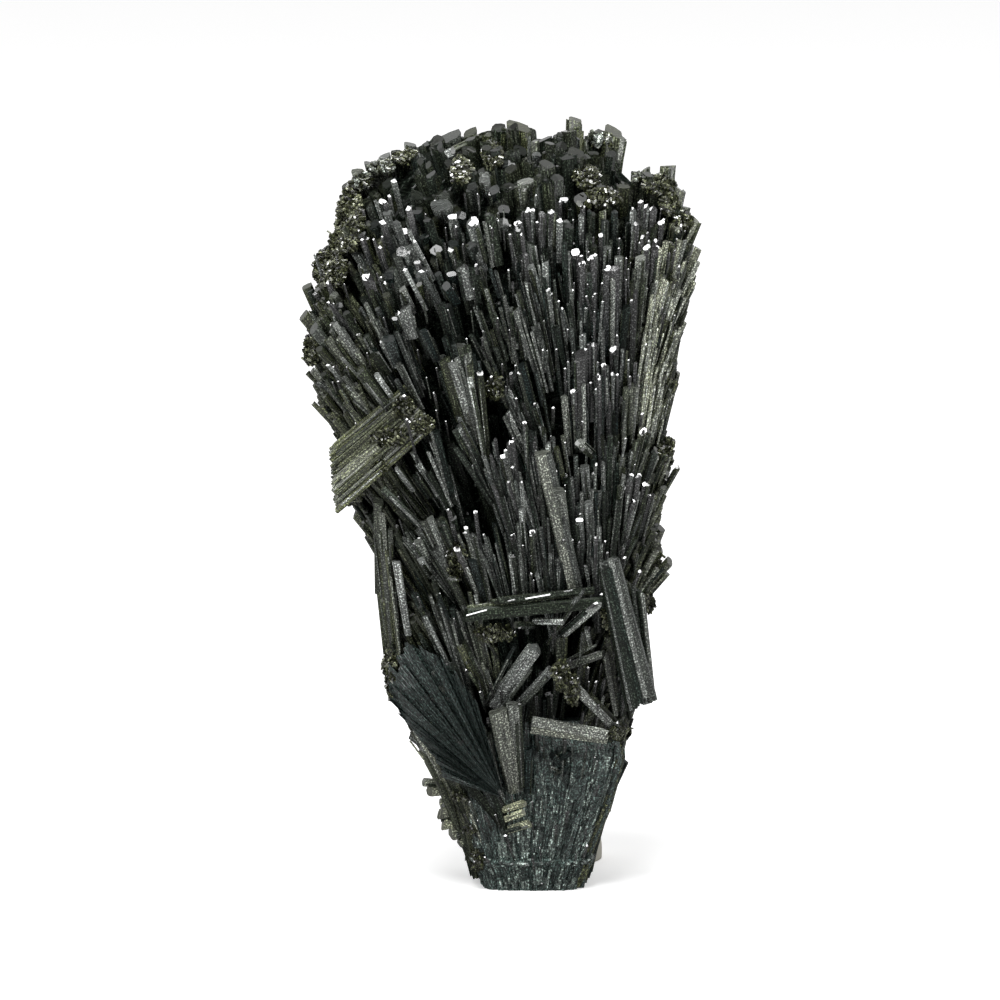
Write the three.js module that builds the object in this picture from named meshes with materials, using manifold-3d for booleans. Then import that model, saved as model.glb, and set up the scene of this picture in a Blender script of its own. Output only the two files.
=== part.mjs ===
// Epidote crystal specimen: one intergrown spray of lath-shaped crystals on a
// narrow broken foot, steadied from behind by a small dab of putty.
// Millimetres, +Z up, the front faces -Y. The origin is the middle of the
// foot, on the surface that the specimen stands on.
import * as THREE from "three";
import { mergeVertices } from "three/addons/utils/BufferGeometryUtils.js";
import Module from "manifold-3d";

const wasm = await Module();
wasm.setup();

// ---- driving dimensions -------------------------------------------------
const RANDOM_SEED = 8;
const CORE_INSET = 1.5;         // how far the core stays inside the body's outline
const CORE_SIDES = 20;
const CORE_RIDGE = 0.45;        // height of the upright ridges of the core
const RIDGE_FROM = 1;           // height above which the core has its ridges
const INSET_SLOPE = 1 / 3;      // how fast the core draws inside above the bare foot
const WALL_CRYSTALS = 152;
const WALL_FROM = 15;           // height where the crystals of the wall begin
const DOME_FROM = 80;           // height where the wall turns into the dome
const DOME_CRYSTALS = 42;
const WALL_CROWDING = 0.85;     // below 1, the crystals lie closer together higher up
const DOME_STEP = 0.05;         // step down the dome while a crystal's ring is looked for
const CRYSTAL_WIDTH = 2.7;
const CRYSTAL_LENGTH = 10;
const LENGTH_SCATTER = 0.25;    // random part of a crystal's length
const WIDTH_SCATTER = 0.25;     // random part of a crystal's width
const TIP_SCATTER = 0.7;        // how far a tip is outside the body's outline or inside it
const LEAN_SCATTER = 0.06;      // random part of a crystal's direction
const LATH_THICKNESS = 0.6;     // thickness of a crystal over its width
const CHISEL_RISE = 0.6;        // height of a chisel end over the width
const ROOT_TAPER = 0.7;         // width of a crystal at its root over its end
const END_SLOPE = 0.6;          // steepest slope of a flat end
const TURN_SCATTER = 0.5;       // random turn of a lath about its length, radians
const BUNDLE_TURN_SCATTER = 0.3;
const PUTTY_GAP = 0.3;          // clearance between the putty and the foot
const GOLDEN_TURN = (Math.sqrt(5) - 1) / 2;

// ---- materials ----------------------------------------------------------
const epidoteMaterial = new THREE.MeshStandardMaterial({
  color: 0x2c3428, roughness: 0.3, metalness: 0.0,
});
const puttyMaterial = new THREE.MeshStandardMaterial({
  color: 0xcdcbbe, roughness: 0.7, metalness: 0.0,
});

// The body that the crystals stand on, as level rings: the height, the left,
// right, front and back reach, and how square the ring is (2 is an ellipse).
const BODY = [
  { z: 0.0, left: -5.8, right: 5.5, front: -6.8, back: 6.4, square: 4.5 },
  { z: 1.2, left: -6.6, right: 6.4, front: -7.2, back: 7.0, square: 4.5 },
  { z: 3.4, left: -7.3, right: 7.0, front: -7.2, back: 7.0, square: 4.5 },
  { z: 3.9, left: -6.8, right: 6.6, front: -6.4, back: 7.0, square: 4.5 },
  { z: 9.0, left: -8.8, right: 8.3, front: -6.9, back: 7.0, square: 4.0 },
  { z: 14.0, left: -11.8, right: 10.0, front: -7.4, back: 7.6, square: 3.2 },
  { z: 19.0, left: -15.0, right: 11.0, front: -8.6, back: 8.4, square: 2.8 },
  { z: 24.0, left: -17.2, right: 12.6, front: -9.6, back: 9.0, square: 2.5 },
  { z: 32.0, left: -17.2, right: 13.2, front: -11.0, back: 10.2, square: 2.4 },
  { z: 38.0, left: -18.2, right: 14.8, front: -11.8, back: 11.0, square: 2.4 },
  { z: 43.0, left: -20.4, right: 14.4, front: -12.4, back: 11.8, square: 2.4 },
  { z: 48.0, left: -22.4, right: 15.8, front: -13.0, back: 12.4, square: 2.4 },
  { z: 54.0, left: -23.4, right: 15.2, front: -13.6, back: 13.0, square: 2.4 },
  { z: 60.0, left: -26.0, right: 16.2, front: -14.2, back: 13.6, square: 2.3 },
  { z: 66.0, left: -26.2, right: 17.0, front: -14.8, back: 14.2, square: 2.3 },
  { z: 72.0, left: -25.0, right: 18.4, front: -14.6, back: 14.4, square: 2.3 },
  { z: 76.0, left: -23.2, right: 18.2, front: -13.8, back: 14.0, square: 2.3 },
  { z: 80.0, left: -21.6, right: 16.6, front: -12.0, back: 12.8, square: 2.3 },
  { z: 83.0, left: -19.0, right: 14.4, front: -9.6, back: 11.6, square: 2.2 },
  { z: 85.0, left: -15.4, right: 11.4, front: -7.0, back: 10.0, square: 2.2 },
  { z: 86.6, left: -11.0, right: 9.2, front: -4.0, back: 8.4, square: 2.1 },
  { z: 87.8, left: -5.5, right: 6.0, front: -0.6, back: 6.6, square: 2.0 },
];
const BODY_TOP = BODY[BODY.length - 1].z;

// The place on the body's middle line where the crystals that end at a height
// seem to start.
const ORIGINS = [
  { z: 4, x: 0, origin: -22 },
  { z: 20, x: 0, origin: -2 },
  { z: 40, x: 1, origin: 12 },
  { z: 60, x: 2, origin: 28 },
  { z: 72, x: 1, origin: 38 },
  { z: 90, x: 0, origin: 48 },
];

// Single crystals that lie across the others or stand out of them, each from
// its root to its end.
const SINGLES = [
  // the dark bar across the front and the slab below it
  { root: [8.0, -10.6, 35.0], tip: [-8.0, -14.4, 33.9], width: 2.2, flat: 0.9 },
  { root: [8.6, -6.4, 18.6], tip: [-1.8, -9.6, 20.2], width: 2.4, flat: 0.8 },
  // the diagonals below the bar
  { root: [4.4, -8.0, 31.6], tip: [-4.6, -12.4, 23.0], width: 1.9, flat: 0.6 },
  { root: [4.6, -7.6, 28.8], tip: [-2.6, -11.6, 22.0], width: 1.5, flat: 0.7 },
  { root: [2.4, -8.6, 31.0], tip: [7.1, -12.6, 34.8], width: 1.4, flat: 0.7 },
  { root: [-1.8, -5.0, 11.0], tip: [-3.8, -10.8, 22.0], width: 3.2, flat: 0.6 },
  { root: [-0.8, -5.4, 11.4], tip: [-0.6, -9.0, 17.4], width: 1.4, flat: 0.6 },
  { root: [4.0, -7.6, 25.4], tip: [9.6, -9.8, 20.0], width: 1.5, flat: 0.8 },
  // long laths that stand out of the front
  { root: [5.6, -10.5, 52.0], tip: [5.4, -16.6, 65.4], width: 1.5, flat: 0.8 },
  { root: [9.2, -9.5, 64.0], tip: [9.2, -15.6, 75.2], width: 1.8, flat: 0.8 },
  { root: [4.4, -8.0, 38.0], tip: [1.2, -14.6, 53.0], width: 1.9, flat: 0.6 },
  { root: [-6.6, -9.5, 54.0], tip: [-10.0, -15.6, 64.0], width: 1.9, flat: 0.8 },
  { root: [-6.0, -9.5, 54.0], tip: [-7.9, -16.2, 66.0], width: 1.7, flat: 0.8 },
  // laths of the left flank
  { root: [-11.0, -8.0, 41.0], tip: [-17.6, -12.0, 48.4], width: 1.5, flat: 0.8 },
  { root: [-22.0, -3.0, 61.0], tip: [-27.2, -3.0, 67.6], width: 1.7, flat: 0.8 },
  // the tabs at the left of the foot
  { root: [-5.6, -3.0, 10.0], tip: [-12.4, -4.0, 11.6], width: 1.8, flat: 0.9 },
  { root: [-5.6, -3.2, 6.4], tip: [-10.4, -3.8, 7.9], width: 2.2, flat: 0.9 },
  { root: [-5.0, -3.6, 2.6], tip: [-8.0, -4.0, 4.6], width: 2.2, flat: 0.9 },
  // blocks of the crown
  { root: [4.8, 3.0, 78.0], tip: [4.8, 3.0, 89.0], width: 1.8, flat: 0.9 },
  { root: [7.6, 2.0, 78.0], tip: [9.6, 2.0, 87.8], width: 2.2, flat: 0.9 },
  { root: [-1.8, 3.0, 78.0], tip: [-1.8, 3.0, 88.6], width: 2.6, flat: 0.9 },
  { root: [14.2, 0.0, 74.0], tip: [15.5, 0.0, 84.2], width: 1.9, flat: 0.9 },
  { root: [12.0, 0.0, 74.0], tip: [12.4, 0.0, 83.2], width: 1.6, flat: 0.9 },
];

// Bundles of side-by-side crystals: the log that crosses the left flank and
// the sheaf that leans on the right one. Each is rows of equal crystals.
const BUNDLES = [
  {
    root: [-12.6, -9.9, 57.3], rootAcross: [1.6, 0, -1.8],
    tip: [-22.4, -8.0, 49.6], tipAcross: [0.9, 0, -3.4],
    deep: [0, 1.3, 0.2], columns: 4, rows: 2, width: 2.3, stagger: 0.06,
  },
  {
    root: [11.6, -5.6, 20.4], rootAcross: [1.3, 0.6, 0.6],
    tip: [9.6, -10.6, 38.4], tipAcross: [2.6, 1.4, -1.4],
    deep: [-0.3, 1.0, 0], columns: 4, rows: 2, width: 2.2, stagger: 0.04,
  },
];

// The dab of putty behind the foot: its middle on the ground, its half-widths
// and its height. Its front is pressed flat where the foot is.
const PUTTY = { x: 3.9, y: 11.0, acrossHalf: 4.3, deepHalf: 4.4, height: 6.4, sides: 12, rings: 6 };
const PUTTY_BULGE = 2.6;        // the larger, the squarer its side view
const PUTTY_TOP = 0.93;         // part of the dome that is kept below its flat top
const PUTTY_FRONT = BODY[2].back + PUTTY_GAP;

// ---- helpers --------------------------------------------------------------
// A repeatable stream of random numbers between 0 and 1.
function randomStream(seed) {
  let state = seed;
  return () => {
    state = (state + 0x6d2b79f5) | 0;
    let mixed = Math.imul(state ^ (state >>> 15), 1 | state);
    mixed = (mixed + Math.imul(mixed ^ (mixed >>> 7), 61 | mixed)) ^ mixed;
    return ((mixed ^ (mixed >>> 14)) >>> 0) / 4294967296;
  };
}
const random = randomStream(RANDOM_SEED);
const scatter = (size) => (random() * 2 - 1) * size;
const point = (place) => new THREE.Vector3(...place);

// A closed mesh of three.js as a solid that can be joined and cut.
function toSolid(geometry) {
  const bare = geometry.clone();
  bare.deleteAttribute("normal");
  bare.deleteAttribute("uv");
  const merged = mergeVertices(bare, 1e-4);
  return new wasm.Manifold(new wasm.Mesh({
    numProp: 3,
    vertProperties: new Float32Array(merged.attributes.position.array),
    triVerts: new Uint32Array(merged.index.array),
  }));
}

// The outer skin of a solid: of the separate surfaces that its triangles
// make, the one with the most triangles. Sealed pockets between the crystals
// have surfaces of their own, so they are left solid.
function outerSkin(triangles, vertexCount) {
  const parent = Array.from({ length: vertexCount }, (_, vertex) => vertex);
  const rootOf = (vertex) => {
    let at = vertex;
    while (parent[at] !== at) {
      parent[at] = parent[parent[at]];
      at = parent[at];
    }
    return at;
  };
  for (let index = 0; index < triangles.length; index += 3) {
    const first = rootOf(triangles[index]);
    parent[rootOf(triangles[index + 1])] = first;
    parent[rootOf(triangles[index + 2])] = first;
  }
  const sizes = new Map();
  for (let index = 0; index < triangles.length; index += 3) {
    const surface = rootOf(triangles[index]);
    sizes.set(surface, (sizes.get(surface) ?? 0) + 1);
  }
  const [outer] = [...sizes.entries()].sort((one, other) => other[1] - one[1])[0];
  const corners = Array.from(triangles);
  return corners.filter((_, index) => rootOf(corners[index - (index % 3)]) === outer);
}

// A solid back as a flat-shaded three.js mesh geometry.
function toGeometry(solid) {
  const mesh = solid.getMesh();
  const geometry = new THREE.BufferGeometry();
  geometry.setAttribute("position", new THREE.BufferAttribute(mesh.vertProperties, 3));
  geometry.setIndex(outerSkin(mesh.triVerts, mesh.vertProperties.length / 3));
  const flat = geometry.toNonIndexed();
  flat.computeVertexNormals();
  return flat;
}

// A closed skin over rings of points: rings run upwards, each anticlockwise
// seen from above, and both ends are closed by a fan.
function skin(rings) {
  const sides = rings[0].length;
  const positions = rings.flat().flatMap((corner) => corner.toArray());
  const faces = [];
  for (let ring = 0; ring + 1 < rings.length; ring += 1) {
    for (let side = 0; side < sides; side += 1) {
      const next = (side + 1) % sides;
      const low = ring * sides;
      const high = low + sides;
      faces.push(low + side, low + next, high + next);
      faces.push(low + side, high + next, high + side);
    }
  }
  const top = (rings.length - 1) * sides;
  for (let side = 1; side + 1 < sides; side += 1) {
    faces.push(0, side + 1, side);
    faces.push(top, top + side, top + side + 1);
  }
  const geometry = new THREE.BufferGeometry();
  geometry.setAttribute("position", new THREE.Float32BufferAttribute(positions, 3));
  geometry.setIndex(faces);
  return geometry;
}

// Two directions across an axis: the first one along the face that looks
// towards facing, the second one the other way across, so that first, second
// and axis are right-handed.
function crossAxes(axis, turn, facing) {
  const level = new THREE.Vector3().crossVectors(axis, facing).normalize();
  level.applyAxisAngle(axis, turn);
  return [level, new THREE.Vector3().crossVectors(axis, level)];
}

// One lath: a flattened prism whose end is either a slanting flat face, as on
// the crystals of the wall, or a chisel, as on the ones that stand alone.
const FLAT_SECTION = [[1, -0.25], [0.45, 1], [-1, 0.25], [-0.45, -1]];
const CHISEL_SECTION = [[1, 0], [0.5, 1], [-0.5, 1], [-1, 0], [-0.5, -1], [0.5, -1]];
const CHISEL_TIP = { wide: 0.6, thick: 0.15 };  // size of the chisel's edge over the crystal's
const FRONT = new THREE.Vector3(0, -1, 0);
function crystal(root, tip, width, flat, turn, section, facing = FRONT) {
  const axis = tip.clone().sub(root);
  const length = axis.length();
  axis.normalize();
  const [wide, thin] = crossAxes(axis, turn, facing);
  const half = width / 2;
  const chisel = section === CHISEL_SECTION;
  const slopes = [scatter(END_SLOPE), scatter(END_SLOPE)];
  const ring = (along, size, thickness, sloped) => section.map(([u, v]) => {
    const lift = sloped ? (u * slopes[0] + v * slopes[1]) * half : 0;
    return root.clone()
      .addScaledVector(axis, along + lift)
      .addScaledVector(wide, u * half * size)
      .addScaledVector(thin, v * half * flat * size * thickness);
  });
  if (!chisel) {
    return toSolid(skin([ring(0, ROOT_TAPER, 1, false), ring(length - half * END_SLOPE, 1, 1, true)]));
  }
  const shoulder = ring(length - width * CHISEL_RISE, 1, 1, false);
  const edge = ring(length, CHISEL_TIP.wide, CHISEL_TIP.thick, false);
  return toSolid(skin([ring(0, 1, 1, false), shoulder, edge]));
}

// A value of a table at a height, on a straight line between its rows.
function at(table, key, height) {
  const above = Math.max(1, table.findIndex((row) => row.z >= height));
  const [low, high] = [table[above - 1], table[above]];
  const part = Math.min(1, Math.max(0, (height - low.z) / (high.z - low.z)));
  return low[key] + part * (high[key] - low[key]);
}

// A place on the body at a height and an angle, moved inwards by an inset. It
// lies on |x / a|^n + |y / b|^n = 1.
function bodyPoint(height, angle, inset) {
  const [left, right, front, back, square] = ["left", "right", "front", "back", "square"]
    .map((key) => at(BODY, key, height));
  const power = (value) => Math.sign(value) * Math.pow(Math.abs(value), 2 / square);
  return new THREE.Vector3(
    (left + right) / 2 + ((right - left) / 2 - inset) * power(Math.cos(angle)),
    (front + back) / 2 + ((back - front) / 2 - inset) * power(Math.sin(angle)),
    height,
  );
}

// The core: the body's rings with upright ridges, a little inside the tips
// above the foot and flush with the foot's rings below.
function growCore() {
  const rings = BODY.map(({ z }) => {
    const inset = Math.min(CORE_INSET, Math.max(0, (z - WALL_FROM) * INSET_SLOPE));
    return Array.from({ length: CORE_SIDES }, (_, side) => {
      const ridge = z > RIDGE_FROM ? (side % 2) * CORE_RIDGE : 0;
      const corner = bodyPoint(z, (side / CORE_SIDES) * 2 * Math.PI, inset + ridge);
      corner.z -= inset * Math.max(0, (z - DOME_FROM) / (BODY_TOP - DOME_FROM));
      return corner;
    });
  });
  return toSolid(skin(rings));
}

// One crystal that ends at a place on the body and points away from the
// origin of its height.
function bodyCrystal(height, angle) {
  const place = bodyPoint(height, angle, 0);
  const origin = point([at(ORIGINS, "x", height), 0, at(ORIGINS, "origin", height)]);
  const away = place.clone().sub(origin).normalize();
  away.add(point([scatter(LEAN_SCATTER), scatter(LEAN_SCATTER), scatter(LEAN_SCATTER)])).normalize();
  const tip = place.clone().addScaledVector(away, scatter(TIP_SCATTER));
  const root = tip.clone().addScaledVector(away, -CRYSTAL_LENGTH * (1 + scatter(LENGTH_SCATTER)));
  const width = CRYSTAL_WIDTH * (1 + scatter(WIDTH_SCATTER));
  const facing = point([Math.cos(angle), Math.sin(angle), 0]);
  return crystal(root, tip, width, LATH_THICKNESS, scatter(TURN_SCATTER), FLAT_SECTION, facing);
}

// The crystals of the wall and of the dome. Turning on by the golden section
// spreads them evenly.
function growWall() {
  return Array.from({ length: WALL_CRYSTALS }, (_, index) => {
    const height = WALL_FROM + ((index + 0.5) / WALL_CRYSTALS) ** WALL_CROWDING * (DOME_FROM - WALL_FROM);
    return bodyCrystal(height, index * GOLDEN_TURN * 2 * Math.PI);
  });
}

function growDome() {
  const size = (height) => Math.sqrt((at(BODY, "right", height) - at(BODY, "left", height))
    * (at(BODY, "back", height) - at(BODY, "front", height)));
  return Array.from({ length: DOME_CRYSTALS }, (_, index) => {
    const wanted = Math.sqrt((index + 0.5) / DOME_CRYSTALS) * size(DOME_FROM);
    let height = BODY_TOP;
    while (height > DOME_FROM && size(height) < wanted) {
      height -= DOME_STEP;
    }
    return bodyCrystal(height, index * GOLDEN_TURN * 2 * Math.PI);
  });
}

// A bundle: rows and columns of parallel crystals with staggered ends.
function growBundle(bundle) {
  const root = point(bundle.root);
  const tip = point(bundle.tip);
  const axis = tip.clone().sub(root);
  const solids = [];
  for (let row = 0; row < bundle.rows; row += 1) {
    for (let column = 0; column < bundle.columns; column += 1) {
      const u = (2 * column) / (bundle.columns - 1) - 1;
      const v = bundle.rows > 1 ? (2 * row) / (bundle.rows - 1) - 1 : 0;
      const place = (end, across) => end.clone()
        .addScaledVector(point(across), u)
        .addScaledVector(point(bundle.deep), v)
        .addScaledVector(axis, scatter(bundle.stagger));
      const start = place(root, bundle.rootAcross);
      const end = place(tip, bundle.tipAcross);
      const turn = scatter(BUNDLE_TURN_SCATTER);
      solids.push(crystal(start, end, bundle.width, LATH_THICKNESS, turn, FLAT_SECTION));
    }
  }
  return solids;
}

// ---- the specimen ---------------------------------------------------------
function epidoteCrystalSpray() {
  const pieces = [growCore(), ...growWall(), ...growDome()];
  SINGLES.forEach((single) => {
    const { root, tip, width, flat } = single;
    pieces.push(crystal(point(root), point(tip), width, flat, 0, CHISEL_SECTION));
  });
  BUNDLES.forEach((bundle) => pieces.push(...growBundle(bundle)));
  return pieces.reduce((joined, piece) => joined.add(piece));
}

function supportPutty() {
  const rings = [];
  for (let ring = 0; ring < PUTTY.rings; ring += 1) {
    const rise = ring / (PUTTY.rings - 1);
    const size = Math.pow(1 - Math.pow(rise * PUTTY_TOP, PUTTY_BULGE), 1 / PUTTY_BULGE);
    rings.push(Array.from({ length: PUTTY.sides }, (_, side) => {
      const angle = (side / PUTTY.sides) * 2 * Math.PI;
      return new THREE.Vector3(
        PUTTY.x + Math.cos(angle) * PUTTY.acrossHalf * size,
        Math.max(PUTTY.y + Math.sin(angle) * PUTTY.deepHalf * size, PUTTY_FRONT),
        rise * PUTTY.height,
      );
    }));
  }
  return toSolid(skin(rings));
}

const spray = new THREE.Mesh(toGeometry(epidoteCrystalSpray()), epidoteMaterial);
spray.name = "epidote_crystal_spray";
const putty = new THREE.Mesh(toGeometry(supportPutty()), puttyMaterial);
putty.name = "support_putty";

const specimen = new THREE.Group();
specimen.add(spray, putty);

export default specimen;
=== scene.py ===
# %% [markdown]
# # An epidote crystal specimen
# Epidote often grows as a fan: hundreds of dark green laths that start at
# one broken root and spread upwards. This lesson dresses a imported model of
# such a fan. The imported model fixes the size and the place of everything, so
# the first cell loads it, leaves each part where it was and has a helper that
# gives a part's outer box.

import bpy
import numpy as np
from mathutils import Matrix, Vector


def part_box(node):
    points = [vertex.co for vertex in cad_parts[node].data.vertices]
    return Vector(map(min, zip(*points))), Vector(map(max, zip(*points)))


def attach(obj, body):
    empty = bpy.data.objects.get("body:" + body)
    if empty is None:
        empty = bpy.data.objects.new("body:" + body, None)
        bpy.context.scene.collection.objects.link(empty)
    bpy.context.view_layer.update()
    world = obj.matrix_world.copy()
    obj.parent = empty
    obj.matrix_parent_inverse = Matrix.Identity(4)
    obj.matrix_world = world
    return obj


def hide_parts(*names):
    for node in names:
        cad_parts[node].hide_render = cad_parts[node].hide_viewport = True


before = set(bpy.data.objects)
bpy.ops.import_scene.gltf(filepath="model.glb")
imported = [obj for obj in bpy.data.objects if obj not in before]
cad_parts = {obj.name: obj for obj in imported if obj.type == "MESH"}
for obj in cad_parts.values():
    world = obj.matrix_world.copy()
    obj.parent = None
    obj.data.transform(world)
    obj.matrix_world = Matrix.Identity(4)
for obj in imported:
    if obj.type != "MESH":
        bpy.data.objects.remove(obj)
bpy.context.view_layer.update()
print("packed nodes:", sorted(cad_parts))

MM = 0.001
ROOT_BODY = "root"
SPRAY_NODE = "epidote_crystal_spray"
PUTTY_NODE = "support_putty"
rng = np.random.default_rng(20)

# %% [markdown]
# ## The camera
# A long lens from nearly a metre away, a little above the specimen, keeps
# its upright laths parallel. The lens follows from the width of the view,
# and the aim point is given so that the foot stands near the lower edge of
# the frame.

# %% The camera
VIEW_WIDTH = 116.3 * MM          # what the frame is wide at the specimen
CAMERA_DISTANCE = 900 * MM
CAMERA_ELEVATION = np.radians(10.0)
SENSOR_WIDTH = 36.0              # of a full-frame camera, mm
NEAREST, FARTHEST = 0.05, 20.0   # what the camera sees at all, m
AIM = Vector((-3.95, 0.0, 45.0)) * MM


def new_object(name, data):
    """An object that shows the data, linked to the scene."""
    thing = bpy.data.objects.new(name, data)
    bpy.context.scene.collection.objects.link(thing)
    return thing


camera_data = bpy.data.cameras.new("camera")
camera_data.sensor_width = SENSOR_WIDTH
camera_data.lens = SENSOR_WIDTH * CAMERA_DISTANCE / VIEW_WIDTH
camera_data.clip_start, camera_data.clip_end = NEAREST, FARTHEST
camera = new_object("camera", camera_data)
backwards = Vector((0.0, -np.cos(CAMERA_ELEVATION), np.sin(CAMERA_ELEVATION)))
camera.location = AIM + backwards * CAMERA_DISTANCE
camera.rotation_euler = backwards.to_track_quat("Z", "Y").to_euler()
bpy.context.scene.camera = camera
print("lens in mm:", round(camera_data.lens, 1))

# %% [markdown]
# ## Places as they look from the camera
# The front is laid out as it looks, because that is how one notes where a
# crystal stands: so far right of the foot, so far up. One function turns such
# a note and a depth into a place, so that nothing shifts when the camera
# looks down a little.

# %% From a look to a place
FOOT_BELOW_AIM = 44.31           # the foot's middle below the aim point, in the view, mm
view_right = np.array([1.0, 0.0, 0.0])
view_up = np.array([0.0, np.sin(CAMERA_ELEVATION), np.cos(CAMERA_ELEVATION)])
eye = np.array(camera.location)


def seen(x, height, depth):
    """The place at y = depth that looks x right of the foot and height above it.

    All in mm. The ray from the camera through aim + right * dx + up * dz is
    followed until its y equals the depth.
    """
    x, height, depth = np.broadcast_arrays(*(np.asarray(v, float) * MM for v in (x, height, depth)))
    on_plane = (
        np.array(AIM)
        + (x - AIM.x)[..., None] * view_right
        + (height - FOOT_BELOW_AIM * MM)[..., None] * view_up
    )
    ray = on_plane - eye
    return eye + ray * ((depth - eye[1]) / ray[..., 1])[..., None]


print("foot's middle in mm:", (seen(0, 0, 0) / MM).round(2))

# %% [markdown]
# ## One lath, and a thousand
# An epidote crystal is a flattened prism with grooves along its length and a
# chisel of two slanting faces at its end. Modelling each by hand would take
# weeks, and instances would not survive the export, so one function works
# out all the corners of all the laths of a piece as one array.

# %% The sections of a lath
# Corners of half the width, anticlockwise. Each section has a corner at u = 0
# on both sides, because the ridge of the chisel runs between the two.
FINE_SECTION = np.array([
    (1.0, 0.0), (0.0, 1.0), (-0.9, 0.35), (-0.7, -0.85), (0.0, -1.0), (0.6, -0.9),
])
BLUNT_SECTION = np.array([
    (1.0, -0.1), (0.7, 0.85), (0.0, 0.95), (-0.8, 0.75),
    (-1.0, 0.15), (-0.74, -0.88), (0.0, -0.94), (0.78, -0.84),
])
SHARD_SECTION = np.array([(0.9, 0.1), (0.0, 1.0), (-0.9, -0.3), (0.0, -0.8)])
print("corners of a lath:", 2 * len(FINE_SECTION), "to", 2 * len(BLUNT_SECTION))


def unit(vectors):
    """Each row over its own length."""
    return vectors / np.linalg.norm(vectors, axis=-1, keepdims=True)


# %% [markdown]
# ## Ends that flash
# The lamp hangs over the specimen. An end face flashes where it mirrors the
# lamp into the camera, so it faces halfway between the two. Such ends are cut
# to that direction, with a little scatter, because real ones are not perfect.

# %% The lamp and the halfway direction
LAMP_PLACE = np.array([-0.08, -0.22, 0.72])
LAMP_AIM = np.array([0.0, 0.0, 0.055])
HALFWAY = unit(unit(LAMP_PLACE - LAMP_AIM) + unit(eye - LAMP_AIM))
FLASH_SCATTER = 0.07
# A flashing end is painted at least this pale: a painted highlight on top of the flash it mirrors.
FLASH_HIGHLIGHT_TINT = 0.05                # a flashing end is at least this pale, so it mirrors fully
STEEPEST = 1.4                   # a steeper end face would be a splinter
LEAST_AHEAD = 0.35               # a lath that points further away isn't cut any steeper
HALF_CUT = (0.5, 1.2)            # half of the ends that flash fall away steeper on one side
PATTERN_SHIFT = 50               # each lath takes its lines from elsewhere in the pattern, mm
print("halfway direction:", HALFWAY.round(2))

# %% [markdown]
# ## All laths of a piece at once
# The arrays have one row for each lath, so a line of numpy moves thousands of
# them. The lower ring of corners sits at the root and the upper one at the
# tip, where the slanting end faces pull some of its corners back.

# %% The mesh of many laths
def lath_mesh(section, root, tip, width, flat, turn, facing, slopes, taper, root_tint, tip_tint, flash=None):
    """Corners, faces, UVs and tints of many laths.

    A corner of ring r on lath i is root + along * axis + half width * (u * wide
    + flat * v * thin). The lower ring has along = 0. On the upper one along
    falls from the ridge on both sides, slope * |u|, and towards the facing
    side, where v = -1. A lath that flashes ends in one flat face instead, at
    right angles to the halfway direction between the camera and the lamp.
    """
    count = len(root)
    sides = len(section)
    ridge_back, ridge_front = np.flatnonzero(section[:, 0] == 0.0)[::-1]
    axis = tip - root
    length = np.linalg.norm(axis, axis=1)
    axis = axis / length[:, None]
    level = unit(np.cross(axis, facing) + np.array([1e-6, 0.0, 0.0]))
    other = np.cross(axis, level)
    wide = np.cos(turn)[:, None] * level + np.sin(turn)[:, None] * other
    thin = np.cross(axis, wide)
    u, v = section[:, 0], section[:, 1]
    half = width / 2
    if flash is not None:
        aim = unit(HALFWAY + rng.normal(0, FLASH_SCATTER, (count, 3)))
        steep = np.maximum((aim * axis).sum(1), LEAST_AHEAD)
        across = ((aim * wide).sum(1) / steep).clip(-STEEPEST, STEEPEST)
        towards = ((aim * thin).sum(1) / steep).clip(-STEEPEST, STEEPEST)
        steeper = rng.uniform(*HALF_CUT, count) * (rng.random(count) < 0.5)
        right_half = rng.random(count) < 0.5
        lit_end = np.stack([
            across + steeper * ~right_half, -across + steeper * right_half, -towards], axis=1)
        slopes = np.where(flash[:, None], lit_end, slopes)
    fall = np.where(u[None] > 0, slopes[:, :1] * u[None], -slopes[:, 1:2] * u[None])
    fall = fall - slopes[:, 2:] * flat[:, None] * v[None]
    along = np.stack([np.zeros((count, sides)), length[:, None] - half[:, None] * fall], axis=1)
    size = np.stack([half * taper, half], axis=1)
    aside = u[None, None, :, None] * wide[:, None, None] + (
        flat[:, None, None, None] * v[None, None, :, None] * thin[:, None, None]
    )
    corners = (
        root[:, None, None]
        + along[..., None] * axis[:, None, None]
        + size[:, :, None, None] * aside
    )
    side = np.arange(sides)
    nxt = (side + 1) % sides
    quads = np.stack([side, nxt, sides + nxt, sides + side], axis=1)
    base = (np.arange(count) * 2 * sides)[:, None, None]
    right_cap = sides + np.roll(side, -ridge_back)[: (ridge_front - ridge_back) % sides + 1]
    left_cap = sides + np.roll(side, -ridge_front)[: (ridge_back - ridge_front) % sides + 1]
    faces = [(base + quads[None], 0), (base + side[::-1][None, None], 0)]
    faces += [(base + cap[None, None], 1) for cap in (right_cap, left_cap)]
    steps = np.linalg.norm(np.diff(section, axis=0), axis=1)
    perimeter = np.concatenate([[0.0], np.cumsum(steps)])
    offset = rng.random((count, 2)) * PATTERN_SHIFT
    uv = np.empty((count, 2, sides, 2))
    uv[..., 0] = offset[:, 0, None, None] + perimeter[None, None] * half[:, None, None] / MM
    uv[..., 1] = offset[:, 1, None, None] + along / MM
    # The tip of a flashing end is painted paler: a painted highlight.
    if flash is not None:
        tip_tint = np.where(flash[:, None], np.maximum(tip_tint, FLASH_HIGHLIGHT_TINT), tip_tint)
    tint = np.ones((count, 2, sides, 4))
    tint[:, 0, :, :3] = root_tint[:, None]
    tint[:, 1, :, :3] = tip_tint[:, None]
    return corners.reshape(-1, 3), faces, uv.reshape(-1, 2), tint.reshape(-1, 4)


# %% [markdown]
# ## One piece, one mesh
# Thousands of laths become one object, because the export handles pieces one
# by one. The arrays go into the mesh in whole blocks, which takes a moment
# where a loop would take minutes.

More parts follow.
